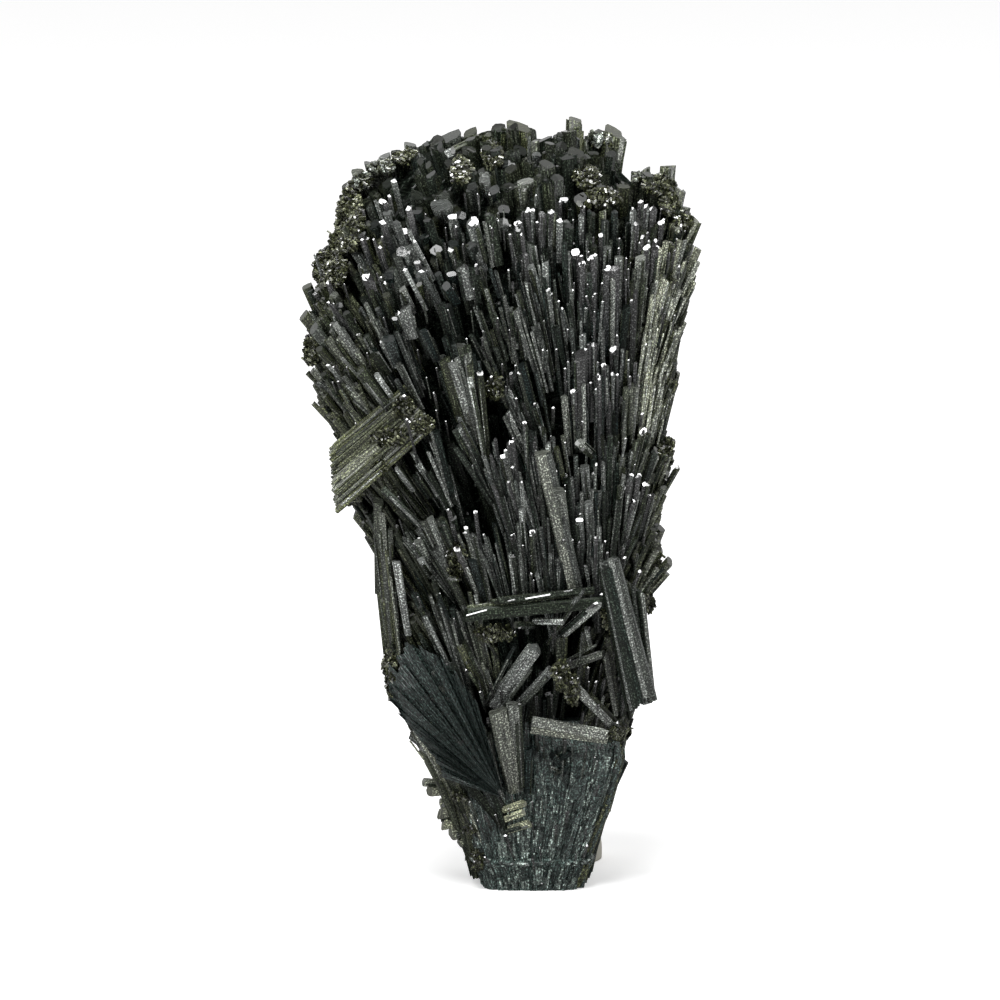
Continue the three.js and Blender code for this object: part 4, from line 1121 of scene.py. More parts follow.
    (-18.2, 66.6, -17.2, 64.2, 0.7, 2.0, 0.9, 0.0), (-19.6, 67.2, -17.4, 62.6, 0.6, 1.8, 0.6, 0.1),
    (-17.2, 68.2, -16.2, 65.8, 0.95, 2.0, 0.9, 0.3), (-15.3, 68.9, -14.2, 66.8, 0.9, 2.0, 1.0, 0.3),
    (-16.2, 65.4, -15.4, 63.8, 0.6, 1.6, 0.9, 0.0), (-19.4, 70.2, -18.0, 66.0, 1.2, 2.0, 0.5, 0.0),
    (-18.5, 61.2, -17.0, 59.0, 1.0, 1.8, 1.0, 0.1), (-16.9, 63.1, -15.8, 60.2, 1.5, 1.6, 0.6, 0.0),
    (-18.3, 58.9, -16.6, 56.4, 0.7, 2.0, 1.0, 0.0), (-16.0, 58.3, -14.8, 56.2, 0.6, 2.2, 0.9, 0.0),
    (-25.6, 64.3, -22.4, 60.2, 1.4, 1.8, 1.0, 0.2), (-22.4, 60.9, -18.5, 56.6, 0.4, 2.0, 0.9, 0.0),
    (-23.1, 64.7, -20.4, 61.0, 0.8, 2.0, 0.8, 0.1), (-25.8, 59.4, -21.6, 54.6, 0.75, 1.8, 0.9, 0.4),
    (-24.7, 55.2, -21.8, 51.6, 0.6, 1.4, 0.9, 0.5), (-22.0, 55.5, -19.4, 52.9, 0.6, 2.0, 0.9, 0.4),
    (-23.9, 57.2, -20.4, 52.8, 0.55, 1.8, 0.6, 0.4), (-26.8, 65.8, -24.4, 62.8, 1.6, 0.8, 0.6, 0.5),
    # low: the wedge that points down, the slab and the laths beside it
    (-4.2, 19.8, -2.2, 10.6, 2.2, 2.6, 1.3, 0.1), (-2.4, 20.6, -1.9, 11.0, 1.6, 2.6, 1.3, 0.1),
    (-0.6, 15.4, -0.7, 10.2, 0.9, 1.4, 0.8, 0.0),
    # the sheaf's bright tip
    (8.4, 36.7, 10.4, 28.0, 1.3, 3.6, 1.3, 0.0),
    # the diagonals below the bar
    (0.3, 27.2, -4.6, 20.4, 1.7, 3.0, 1.3, 0.0), (2.1, 24.6, -2.6, 19.6, 1.25, 3.2, 1.3, 0.0),
    (7.1, 32.0, 3.4, 28.8, 1.15, 2.6, 1.0, 0.1), (5.8, 33.8, 2.4, 28.6, 0.4, 3.0, 0.2, 0.0),
    (5.0, 33.0, 1.6, 27.6, 0.45, 3.0, 0.2, 0.0), (-2.2, 27.4, -5.8, 20.4, 0.5, 2.0, 0.3, 0.0),
    (8.1, 26.4, 3.9, 24.9, 0.9, 2.2, 0.9, 0.2), (7.3, 27.5, 3.4, 25.4, 0.3, 2.2, 0.8, 0.3),
    (4.9, 22.4, 9.4, 17.8, 1.2, 2.4, 1.3, 0.1), (3.4, 30.1, 0.0, 30.1, 0.7, 3.4, 0.9, 0.0),
    (-2.2, 29.8, -0.2, 29.8, 0.9, 3.4, 1.0, 0.6), (6.1, 29.4, 6.6, 27.0, 0.6, 1.0, 0.6, 0.1),
    # the three stacked blocks on the foot and the edge beside them
    (-1.1, 9.1, -4.0, 8.1, 0.9, 2.0, 1.3, 0.8), (-1.2, 8.0, -4.0, 6.9, 0.9, 1.8, 1.3, 0.8),
    (-0.5, 6.7, -3.5, 5.8, 1.0, 1.7, 1.3, 0.8), (-7.4, 7.9, -5.1, 2.0, 0.35, 0.6, 1.3, 0.4),
    # dark chips round a pit in the foot
    (4.2, 15.0, 2.4, 14.0, 1.0, 0.5, 0.0, 0.0), (2.1, 14.6, 3.4, 13.0, 0.8, 0.5, 0.1, 0.0),
    (3.9, 13.2, 2.6, 12.5, 0.7, 0.4, 0.0, 0.0), (1.9, 13.2, 3.2, 12.7, 0.4, 0.6, 1.3, 0.2),
    # the tabs at the left of the foot
    (-12.9, 11.5, -8.0, 11.1, 1.1, -1.0, 1.7, 0.6), (-12.2, 10.4, -7.6, 10.8, 1.3, -0.8, 1.7, 0.6),
    (-11.0, 9.0, -7.4, 9.5, 1.3, -1.0, 1.7, 0.6), (-10.9, 7.8, -7.0, 8.4, 1.4, -0.6, 1.7, 0.6),
    (-10.6, 6.6, -6.6, 7.3, 1.5, -0.8, 1.7, 0.6), (-9.7, 5.4, -6.4, 6.1, 1.5, -0.5, 1.7, 0.6),
    (-8.8, 4.5, -6.2, 5.0, 1.4, -0.6, 1.7, 0.6), (-7.9, 3.4, -5.6, 3.9, 2.0, -1.6, 1.3, 0.7),
])


print("single crystals:", len(SINGLES), "glints:", len(GLINTS))

# %% [markdown]
# ## Growing the single crystals
# They are laths like the others, with a steadier turn and root. A glint's own
# crystal is a thin shard that lies parallel to its nearest neighbour.

# %% Single crystals
GLINT_REACH = 0.8                # a crystal that ends this near to a glint flashes, mm
GLINT_LIFT = 0.25                # the small crystal of a glint stands in front of its neighbour, mm
GLINT_LENGTH = (4, 7)            # least and most, mm
SINGLE_DROP = (0.08, 0.26)       # how much deeper a root lies than its tip, per length
SINGLE_TURN = 0.12


def by_glint(x, height):
    """Which places lie within reach of a glint."""
    gap = np.hypot(x[:, None] - GLINTS[None, :, 0], height[:, None] - GLINTS[None, :, 1])
    return gap.min(1) < GLINT_REACH


def singles_parts():
    """Each crystal of the table, with a few thin ones grown onto it."""
    tip_x, tip_up, root_x, root_up, width, lift, light, olive = SINGLES.T
    main, part = front_laths(
        BLUNT_SECTION, tip_x, tip_up, root_x, root_up, width, lift, light, olive,
        drop=rng.uniform(*SINGLE_DROP, len(tip_x)) * np.hypot(tip_x - root_x, tip_up - root_up),
        turn=SINGLE_TURN, flash=by_glint(tip_x, tip_up))
    return [part, fine_laths(main, 2, 0.5, 0.15, shorten=0.3)]


def glint_parts():
    """A small crystal at each glint, parallel to the nearest single crystal."""
    x, up, width = GLINTS.T
    gap = np.hypot(x[:, None] - SINGLES[None, :, 0], up[:, None] - SINGLES[None, :, 1])
    near = SINGLES[gap.argmin(1)]
    away = np.stack([near[:, 2] - near[:, 0], near[:, 3] - near[:, 1]], axis=1)
    away = unit(away) * rng.uniform(*GLINT_LENGTH, len(x))[:, None]
    _main, part = front_laths(
        SHARD_SECTION, x, up, x + away[:, 0], up + away[:, 1], width, near[:, 5] + GLINT_LIFT,
        0.5, 0.0, flash=np.ones(len(x), bool))
    return [part]


put_mesh(
    "single_crystals", singles_parts() + glint_parts(), EPIDOTE, SPRAY_NODE)

# %% [markdown]
# ## Sparkle
# Tiny ends between the laths catch the lamp too. They are scattered over the
# front by chance, with few of them at the left, where it is dull.

# %% Sparkle
SPARKLES = 560
DULL = np.array([-14.0, 42.0, 11.0, 24.0])     # middle and half-size of the dull part, mm
DULL_SHARE = 0.25                # of the sparkles there stay
SPARKLE_APEX = (2.0, -10.0)      # they point away from this x and height, mm
SPARKLE_LENGTH = 2.5


def sparkle_parts():
    """Tiny crystals all over the front whose ends catch the lamp.

    The width is 0.18 + 0.36 r^2 mm for a random r, so most of them are thin.
    """
    x, up = rng.uniform(-24, 18, SPARKLES), rng.uniform(2, 80, SPARKLES)
    dull = np.hypot((x - DULL[0]) / DULL[2], (up - DULL[1]) / DULL[3]) < 1
    on_front = inside_outline(seen(x, up, front_depth(x, up)), slack=-1.0)
    kept = on_front & (~dull | (rng.random(SPARKLES) < DULL_SHARE))
    x, up = x[kept], up[kept]
    away = unit(np.stack([x - SPARKLE_APEX[0], up - SPARKLE_APEX[1]], axis=1)) * SPARKLE_LENGTH
    width = 0.18 + 0.36 * rng.random(len(x)) ** 2
    _main, part = front_laths(
        SHARD_SECTION, x, up, x - away[:, 0], up - away[:, 1], width, 1.0, 0.3, 0.1,
        flash=np.ones(len(x), bool))
    return [part]


put_mesh("sparkle", sparkle_parts(), EPIDOTE, SPRAY_NODE)

# %% [markdown]
# ## Stubs and blocks of the crown
# On the crown the crystals point at the viewer or stand upright in blocks.
# Their last column says how much deeper the root lies than the tip, which
# decides whether one looks at the end or at the side.

# %% Stubs
STUBS = np.array([
    # tip x, height, root x, height, width, lift, light, olive, drop
    # the crown's left, seen end-on
    (-10.8, 78.6, -9.6, 75.5, 2.4, 1.6, 1.3, 0.0, 6), (-13.7, 77.8, -12.4, 73.5, 1.5, 1.8, 0.6, 0.0, 3),
    (-13.6, 79.8, -12.8, 76.5, 1.5, 1.0, 0.6, 0.3, 3), (-16.9, 81.2, -16.0, 78.0, 1.6, 0.6, 0.7, 0.1, 3),
    (-18.6, 76.4, -17.0, 73.0, 1.5, 1.4, 0.6, 0.0, 3), (-15.2, 73.2, -14.2, 71.0, 1.7, 1.8, 0.9, 0.0, 5),
    (-14.6, 71.2, -13.6, 68.8, 1.1, 1.6, 0.6, 0.0, 3), (-13.1, 70.7, -12.2, 67.5, 1.4, 1.8, 0.5, 0.0, 3),
    (-16.9, 70.4, -15.8, 67.6, 1.1, 1.6, 0.6, 0.0, 3), (-8.6, 77.5, -8.0, 74.5, 1.5, 1.4, 0.3, 0.0, 4),
    (-7.3, 74.0, -6.3, 71.0, 1.3, 1.6, 0.4, 0.0, 3), (-26.4, 69.2, -24.8, 65.5, 1.4, 0.2, 0.8, 0.4, 2),
    (-24.4, 69.2, -23.0, 66.5, 1.3, 1.2, 0.8, 0.2, 3), (-23.3, 68.2, -22.0, 66.0, 1.1, 1.4, 0.8, 0.4, 3),
    (-22.7, 67.0, -21.7, 65.0, 1.0, 1.4, 0.6, 0.0, 3), (-19.4, 79.0, -18.4, 76.0, 1.1, 0.8, 0.5, 0.1, 3),
    (-17.6, 79.0, -16.6, 76.0, 1.0, 1.2, 0.5, 0.1, 3), (-20.0, 75.2, -18.8, 72.0, 1.0, 1.2, 0.5, 0.0, 3),
    (-9.4, 74.2, -8.6, 71.6, 1.3, 1.4, 0.5, 0.0, 3), (-11.4, 73.4, -10.4, 70.6, 1.4, 1.0, 0.3, 0.0, 4),
    (-12.8, 75.0, -11.6, 71.8, 1.2, 1.4, 0.6, 0.0, 3), (-9.6, 70.6, -8.6, 68.0, 1.1, 1.0, 0.4, 0.0, 3),
    (-6.6, 70.2, -5.4, 67.0, 1.0, 1.0, 0.4, 0.1, 3), (-3.5, 78.2, -3.2, 76.0, 1.4, 1.2, 0.5, 0.0, 5),
    (-3.6, 76.6, -3.2, 74.2, 1.3, 1.2, 0.4, 0.0, 4), (5.4, 79.4, 5.4, 77.0, 1.5, 1.0, 0.6, 0.1, 5),
    (3.5, 79.3, 3.4, 77.0, 1.0, 0.8, 0.4, 0.0, 3), (-0.9, 81.4, -0.7, 77.6, 2.2, 1.6, 0.7, 0.2, 2),
    (0.6, 81.6, 0.7, 78.0, 0.9, 1.2, 0.6, 0.1, 1), (1.3, 83.2, 1.3, 80.6, 1.0, 0.4, 0.7, 0.0, 1),
    (-3.0, 83.4, -2.8, 81.0, 1.8, 0.2, 0.4, 0.0, 4), (-5.8, 81.8, -5.4, 79.6, 1.4, 0.8, 0.9, 0.0, 2),
    (-4.6, 80.4, -4.2, 78.0, 1.2, 0.8, 0.5, 0.0, 3), (-7.2, 80.8, -6.8, 78.2, 1.2, 0.8, 0.7, 0.0, 2),
    (8.6, 84.0, 8.9, 81.6, 1.2, 0.6, 0.8, 0.0, 2), (2.6, 82.8, 2.7, 80.6, 1.1, 0.2, 0.4, 0.0, 3),
    (-1.6, 85.0, -1.5, 82.0, 1.6, 0.2, 0.6, 0.1, 1), (0.3, 84.6, 0.3, 82.4, 1.1, 0.2, 0.7, 0.0, 1),
    # the silvery rim at the upper left and the pale slabs beside it
    (-21.8, 81.0, -20.8, 78.0, 1.5, 0.2, 1.1, 0.4, 1), (-20.4, 82.4, -19.4, 79.2, 1.6, 0.2, 1.3, 0.2, 1),
    (-19.0, 83.4, -18.2, 80.0, 1.5, 0.0, 1.2, 0.1, 1), (-17.4, 84.3, -16.8, 81.0, 1.6, 0.0, 1.2, 0.1, 1),
    (-15.9, 84.7, -15.5, 82.0, 1.5, -0.2, 1.1, 0.2, 1), (-14.4, 85.7, -14.2, 82.4, 1.5, -0.4, 1.1, 0.2, 1),
    (-13.2, 84.6, -12.8, 79.6, 1.8, 0.8, 1.5, 0.0, 1), (-12.2, 85.9, -12.0, 82.0, 1.8, 0.0, 1.0, 0.2, 1),
    (-10.0, 86.5, -9.8, 80.8, 3.2, 0.2, 0.9, 0.4, 1), (-10.4, 84.3, -6.4, 86.2, 1.2, 1.0, 1.4, 0.0, 0),
    (-7.4, 87.1, -7.4, 82.6, 1.6, 0.2, 0.9, 0.3, 1), (-5.6, 86.9, -5.6, 82.0, 1.7, 0.2, 0.6, 0.3, 1),
    (-3.9, 87.5, -3.9, 83.0, 1.5, 0.0, 0.5, 0.5, 1),
    # the upright blocks at the right and the shoulder beyond the notch
    (-1.8, 87.8, -1.7, 82.0, 2.8, 0.0, 0.7, 0.5, 0), (1.0, 86.2, 1.0, 81.6, 2.2, 0.4, 0.8, 0.1, 0),
    (3.1, 86.9, 3.1, 82.4, 1.8, 0.6, 0.6, 0.6, 0), (4.9, 86.8, 4.9, 82.4, 1.9, 0.8, 0.7, 0.5, 0),
    (4.8, 88.6, 4.7, 84.6, 1.6, -1.0, 0.7, 0.5, 0), (7.4, 87.3, 7.2, 82.0, 1.3, 0.8, 0.7, 0.1, 0),
    (6.4, 86.2, 6.3, 82.2, 1.0, 0.8, 0.5, 0.1, 0), (9.3, 87.2, 8.4, 80.6, 2.2, 0.4, 0.5, 0.6, 0),
    (10.3, 86.5, 9.2, 80.6, 0.8, 0.6, 0.5, 0.5, 0), (12.0, 82.5, 11.8, 78.6, 1.0, 0.8, 1.0, 0.3, 0),
    (13.1, 82.9, 13.0, 78.6, 0.9, 0.6, 0.7, 0.5, 0), (14.4, 82.2, 14.2, 78.2, 1.7, 0.6, 0.6, 0.6, 0),
    (15.6, 83.2, 15.2, 78.2, 1.9, 0.4, 0.7, 0.5, 0), (16.8, 80.6, 16.0, 77.0, 1.6, 0.2, 0.7, 0.5, 0),
    (17.6, 78.4, 16.6, 75.0, 1.4, 0.4, 0.7, 0.6, 0), (18.8, 77.0, 17.4, 73.6, 1.2, 0.2, 0.8, 0.6, 0),
    (10.4, 80.8, 10.2, 77.4, 1.6, 0.6, 0.7, 0.6, 1), (7.8, 80.8, 7.7, 77.6, 2.2, 0.6, 0.7, 0.5, 1),
])


def stub_parts():
    """The stubs and blocks, each with a few thinner ones beside it."""
    tip_x, tip_up, root_x, root_up, width, lift, light, olive, drop = STUBS.T
    main, part = front_laths(
        BLUNT_SECTION, tip_x, tip_up, root_x, root_up, width, lift, light, olive,
        drop=drop, turn=0.3)
    return [part, fine_laths(main, 3, 0.6, 0.3, shorten=0.3)]


put_mesh("crown_stubs", stub_parts(), EPIDOTE, SPRAY_NODE)

# %% [markdown]
# ## Sugary patches
# Where growth was disturbed the surface is a crust of tiny crystals that
# point every way. Light passes through them, so they are olive and sparkle.
# A few are painted pale, silver on the silvery rims: painted light.

# %% Sugar
SUGAR = np.array([
    # x, height, half across, half up, count, light, lift
    (-21.6, 77.0, 1.5, 3.6, 150, 1.0, 0.9), (-24.0, 71.3, 1.9, 2.2, 110, 0.8, 0.9),
    (-20.4, 81.6, 1.3, 0.9, 60, 1.3, 0.9), (-18.0, 83.2, 1.5, 0.8, 60, 1.3, 0.9),
    (-15.2, 84.4, 1.4, 0.8, 50, 1.2, 0.9), (-8.6, 82.8, 1.2, 1.5, 80, 1.2, 0.9),
    (-5.0, 84.6, 1.2, 1.6, 60, 0.9, 0.9), (6.3, 82.0, 1.5, 1.3, 80, 1.0, 0.9),
    (8.0, 79.6, 2.2, 1.0, 100, 0.8, 0.9), (14.8, 81.0, 1.8, 1.1, 90, 0.7, 0.9),
    (16.0, 78.8, 1.0, 1.2, 50, 0.7, 0.9), (17.6, 77.0, 1.2, 0.9, 50, 0.7, 0.9),
    (-26.2, 61.8, 0.7, 1.8, 50, 0.8, 0.9), (-15.4, 55.2, 1.0, 1.2, 60, 1.1, 0.9),
    (-13.2, 53.2, 1.3, 0.9, 60, 1.0, 0.9), (-17.2, 51.6, 2.0, 1.0, 90, 1.0, 0.9),
    (-21.6, 45.2, 1.4, 1.3, 70, 0.9, 0.9), (15.8, 50.0, 1.0, 1.6, 70, 0.8, 0.9),
    (15.2, 38.6, 0.7, 0.9, 40, 0.9, 0.9), (13.4, 32.4, 0.7, 1.0, 40, 0.8, 0.9),
    (3.1, 24.6, 1.0, 0.9, 60, 0.9, 3.4), (3.9, 23.2, 1.3, 0.9, 80, 0.7, 3.6),
    (4.6, 21.8, 0.7, 1.1, 50, 0.9, 3.2), (-4.6, 28.9, 2.4, 0.8, 90, 0.8, 2.2),
    (-17.0, 24.0, 0.8, 3.0, 120, 0.9, 0.9), (10.2, 17.4, 1.2, 0.7, 50, 0.9, 0.9),
    (-23.0, 74.3, 1.0, 1.3, 50, 0.9, 1.0), (-9.0, 9.9, 0.8, 0.3, 20, 0.6, 0.9),
    (-7.6, 6.0, 0.6, 0.4, 16, 0.5, 0.9), (-6.8, 2.6, 0.7, 1.2, 40, 0.4, 0.9),
    (-9.2, 37.2, 1.0, 2.2, 60, 0.7, 0.9), (9.4, 30.6, 1.2, 1.6, 50, 0.8, 1.6),
    (-4.6, 57.4, 0.9, 1.3, 50, 0.6, 0.9), (7.5, 86.4, 0.8, 0.8, 50, 2.2, 0.9),
    (9.5, 86.4, 1.1, 0.7, 60, 2.2, 0.9), (12.0, 82.0, 0.6, 0.5, 30, 2.2, 0.9),
    (-23.0, 48.4, 1.0, 2.6, 90, 1.0, 0.9), (-19.4, 48.4, 2.2, 1.6, 60, 0.9, 0.9),
])
SUGAR_LENGTH = 0.6 * MM
SUGAR_DENSITY = 4                # crystals for each one of the table's count
SUGAR_LIGHT = 0.06               # the share of tiny ends that flash
SUGAR_WIDTH = (0.2, 0.48)        # mm
SUGAR_SCATTER = 0.45             # of their directions
# Tiny crystals on the silvery rims are painted towards this: a painted sheen.
PAINTED_SHEEN_SILVER = np.array([0.21, 0.23, 0.215])


def sugar_parts(row):
    """One patch: tiny crystals evenly over an ellipse, pointing outwards at random."""
    x, up, across, tall, count, light, lift = row
    count = SUGAR_DENSITY * int(count)
    reach, turn = np.sqrt(rng.random(count)), rng.uniform(0, 2 * np.pi, count)
    tip_x, tip_up = x + across * reach * np.cos(turn), up + tall * reach * np.sin(turn)
    tip = seen(tip_x, tip_up, front_depth(tip_x, tip_up) - lift - rng.uniform(-0.5, 0.5, count))
    tip = tip[inside_outline(tip, slack=0.0)]
    count = len(tip)
    outwards = unit(tip * np.array([1.0, 1.0, 0.0]) + np.array([0.0, 0.0, 8.0]) * MM)
    away = unit(outwards + rng.normal(0, SUGAR_SCATTER, tip.shape))
    # A few tiny crystals are painted pale, towards silver on evenly lit rows and tan elsewhere: painted light.
    pale = PAINTED_SHEEN_SILVER if light > EVENLY_LIT else TAN
    tint = OLIVE * rng.uniform(0.05, 0.7, count)[:, None] + light * (rng.random(count) ** 4)[:, None] * pale
    return lath_mesh(
        FINE_SECTION, tip - away * SUGAR_LENGTH, tip, rng.uniform(*SUGAR_WIDTH, count) * MM,
        rng.uniform(0.6, 1.0, count), rng.uniform(0, 3, count), np.broadcast_to([0.0, -1.0, 0.3], tip.shape),
        random_slopes(count), np.ones(count), tint, tint, rng.random(count) < SUGAR_LIGHT)


put_mesh(
    "sugar_crust", [sugar_parts(row) for row in SUGAR], EPIDOTE, SPRAY_NODE)

# %% [markdown]
# ## The bar, the log and the sheaf
# Some laths have grown side by side into a bundle that lies across the rest.
# Such a bundle is given by its four corners as they look from the camera:
# the tips lie on the line between two of them and the roots on the line
# between the other two.

# %% The bar, the log and the sheaf
def bundle_parts(count, tip_a, tip_b, root_a, root_b, thick, width, ragged, light, olive, depth):
    """Side-by-side laths whose tips lie from tip_a to tip_b and roots from root_a to root_b.

    Thick is how far they stand behind each other in mm, ragged how unevenly
    they end as a share of the length, and depth is that of tips and roots.
    """
    part = rng.random(count)
    tip = np.array(tip_a) + part[:, None] * (np.array(tip_b) - np.array(tip_a))
    root = np.array(root_a) + part[:, None] * (np.array(root_b) - np.array(root_a))
    axis = tip - root
    cut = rng.uniform(-ragged, ragged, (2, count, 1))
    tip, root = tip + cut[0] * axis, root + cut[1] * axis
    tip_depth, root_depth = depth
    layer = rng.uniform(-thick / 2, thick / 2, count)
    start = seen(root[:, 0], root[:, 1], root_depth + layer)
    end = seen(tip[:, 0], tip[:, 1], tip_depth + layer)
    widths = rng.uniform(*width, count) * MM
    facing = np.broadcast_to(np.array([0.0, -1.0, 0.0]), end.shape)
    tint = tinted(count, light, olive)
    # The tip is painted paler: painted light.
    return [lath_mesh(
        BLUNT_SECTION, start, end, widths, rng.uniform(*LATH_FLAT, count), rng.normal(0, 0.3, count),
        facing, random_slopes(count), rng.uniform(*LATH_TAPER, count), tint, tint * FINE_TIP_PAINTED_LIGHT)]


log = bundle_parts(
    380, tip_a=(-22.9, 51.0), tip_b=(-22.0, 43.6), root_a=(-15.4, 57.2), root_b=(-13.0, 51.6),
    thick=3.0, width=(0.2, 0.5), ragged=0.13, light=1.2, olive=0.7, depth=(-8.0, -11.5))
put_mesh("log_bundle", log, EPIDOTE, SPRAY_NODE)
sheaf = bundle_parts(
    30, tip_a=(7.9, 36.2), tip_b=(9.4, 37.4), root_a=(11.0, 20.2), root_b=(13.8, 21.4),
    thick=1.6, width=(0.6, 1.2), ragged=0.03, light=0.6, olive=0.05, depth=(-13.6, -10.5))
sheaf += bundle_parts(
    26, tip_a=(10.4, 35.0), tip_b=(12.9, 33.0), root_a=(12.4, 21.6), root_b=(13.9, 22.6),
    thick=2.4, width=(0.4, 0.9), ragged=0.03, light=0.5, olive=0.15, depth=(-11.0, -8.5))
put_mesh("leaning_sheaf", sheaf, EPIDOTE, SPRAY_NODE)
bar = bundle_parts(
    1, tip_a=(-8.0, 30.9), tip_b=(-8.0, 30.9), root_a=(8.0, 32.4), root_b=(8.0, 32.4),
    thick=0.0, width=(1.7, 1.7), ragged=0.0, light=0.0, olive=0.12, depth=(-14.6, -12.0))
bar += bundle_parts(
    5, tip_a=(-7.9, 31.8), tip_b=(-2.0, 33.0), root_a=(7.0, 33.6), root_b=(7.0, 34.0),
    thick=0.6, width=(0.5, 0.9), ragged=0.0, light=0.1, olive=0.25, depth=(-14.2, -11.8))
slab_on_foot = bundle_parts(
    4, tip_a=(8.6, 16.2), tip_b=(8.2, 17.2), root_a=(-0.6, 17.3), root_b=(0.0, 18.8),
    thick=0.3, width=(0.9, 1.3), ragged=0.02, light=1.26, olive=0.25, depth=(-10.4, -10.8))
put_mesh("bar_crystal", bar + slab_on_foot, EPIDOTE, SPRAY_NODE)

# %% [markdown]
# ## Bright edges
# A long edge flashes along its length where its narrow bevel mirrors the
# lamp. Each one is a sliver whose face is turned halfway between the camera
# and the lamp. It is painted pale grey, a painted highlight on top of that
# flash.

# %% Edges
EDGES = np.array([
    # x, height, other x, height, depth
    (-7.9, 30.85, -5.5, 31.5, -15.6), (-3.0, 32.5, -2.2, 32.7, -15.2), (-1.0, 32.8, 1.9, 33.3, -14.9),
    (3.5, 33.6, 4.5, 33.8, -14.5),
])
EDGE_WIDTH = 0.22 * MM
EDGE_DROP = 0.2                  # how much deeper the right end lies, mm
edge_end = seen(EDGES[:, 0], EDGES[:, 1], EDGES[:, 4])
edge_start = seen(EDGES[:, 2], EDGES[:, 3], EDGES[:, 4] + EDGE_DROP)
edge_count = len(EDGES)
# The edges are painted pale grey: a painted highlight.
edge_painted_highlight = np.tile(PAINTED_LIGHT_GREY, (edge_count, 1))
put_mesh("bright_edges", [lath_mesh(
    BLUNT_SECTION, edge_start, edge_end, np.full(edge_count, EDGE_WIDTH), np.full(edge_count, 0.6),
    np.zeros(edge_count), np.tile(HALFWAY, (edge_count, 1)), random_slopes(edge_count), np.ones(edge_count),
    edge_painted_highlight, edge_painted_highlight)], [end_face, end_face], SPRAY_NODE)

# %% [markdown]
# ## The foot's bark
# The foot's face is striated upright and sparkles: slivers of crystal lie on
# it side by side, more teal than the laths above. A few are painted pale grey,
# which is painted sparkle. They stop at the ledge near the table, and a row
# of short chips, a few of them painted pale too, runs along it. The right rim
# is olive, painted paler where the same painted light falls.

# %% Slivers of the foot
SLIVERS = 2600
LEDGE = 3.5                      # height of the ledge round the foot, mm
LEDGE_CHIPS = 120
# Slivers that catch the light are painted towards this grey: painted sparkle.
SLIVER_SPARKLE_GREY = np.array([0.21, 0.25, 0.225])
LOWEST_SLIVER, HIGHEST_SLIVER = 0.6, 17.4      # heights of the slivers' tips, mm
SLIVER_ROOT = 0.2                # no sliver starts lower, mm
SLIVER_PROUD, CHIP_PROUD = 0.14, 0.1           # how far tips stand out of the foot, mm


def foot_slivers():
    """Thin upright slivers all round the foot, most of them short."""
    height = LOWEST_SLIVER + (HIGHEST_SLIVER - LOWEST_SLIVER) * rng.random(SLIVERS)
    even = rng.uniform(0, 2 * np.pi, SLIVERS)
    turn = spread(even)
    length = np.minimum(0.6 + rng.exponential(1.2, SLIVERS), height)
    crosses_ledge = (height > LEDGE) & (height - length < LEDGE)
    length = np.where(crosses_ledge, height - LEDGE - 0.1, length).clip(0.2)
    length = np.minimum(length, height - SLIVER_ROOT)
    tip = foot_point(height, turn, SLIVER_PROUD)
    root = foot_point(height - length, turn, -0.05)
    facing = np.stack([np.cos(even), np.sin(even), 0 * turn], axis=-1)
    # A few slivers, and the olive rim with them, are painted paler: painted sparkle.
    light = (rng.random(SLIVERS) ** 3)[:, None]
    tint = FOOT_TEAL * 0.5 + light * SLIVER_SPARKLE_GREY
    rim = (tip[:, 0] / MM > 4.9 + 0.3 * height)[:, None]
    tint = np.where(rim, OLIVE * (0.5 + 1.5 * light), tint)
    return lath_mesh(
        FINE_SECTION, root, tip, rng.uniform(0.15, 0.42, SLIVERS) * MM, rng.uniform(0.4, 0.8, SLIVERS),
        rng.normal(0, 0.3, SLIVERS), facing, random_slopes(SLIVERS), rng.uniform(0.6, 1.0, SLIVERS), tint, tint)


def ledge_chips():
    """Short level chips one behind the other along the ledge's edge."""
    even = rng.uniform(0, 2 * np.pi, LEDGE_CHIPS)
    height = LEDGE - 0.25 + rng.normal(0, 0.1, LEDGE_CHIPS)
    tip = foot_point(height, spread(even), CHIP_PROUD)
    root_height = height + rng.normal(0, 0.1, LEDGE_CHIPS)
    root = foot_point(root_height, spread(even + rng.uniform(0.03, 0.12, LEDGE_CHIPS)), CHIP_PROUD)
    facing = np.stack([np.cos(even), np.sin(even), 0.5 + 0 * even], axis=-1)
    # A few chips are painted pale grey: painted sparkle.
    tint = FOOT_TEAL * 0.4 + (rng.random(LEDGE_CHIPS) ** 3)[:, None] * SLIVER_SPARKLE_GREY * 0.5
    return lath_mesh(
        FINE_SECTION, root, tip, rng.uniform(0.3, 0.6, LEDGE_CHIPS) * MM, np.full(LEDGE_CHIPS, 0.8),
        rng.normal(0, 0.3, LEDGE_CHIPS), facing, random_slopes(LEDGE_CHIPS), np.ones(LEDGE_CHIPS), tint, tint)


put_mesh(
    "foot_bark", [foot_slivers(), ledge_chips()], FOOT_EPIDOTE, SPRAY_NODE)

# %% [markdown]
# ## The smooth fan
# At the lower left fine laths have grown together into one smooth, dark fan.
# It is a closed sheet of rays from an apex to a rim. Low ridges run along the
# rays, and every few rays end at their own length, so the rim is serrated.

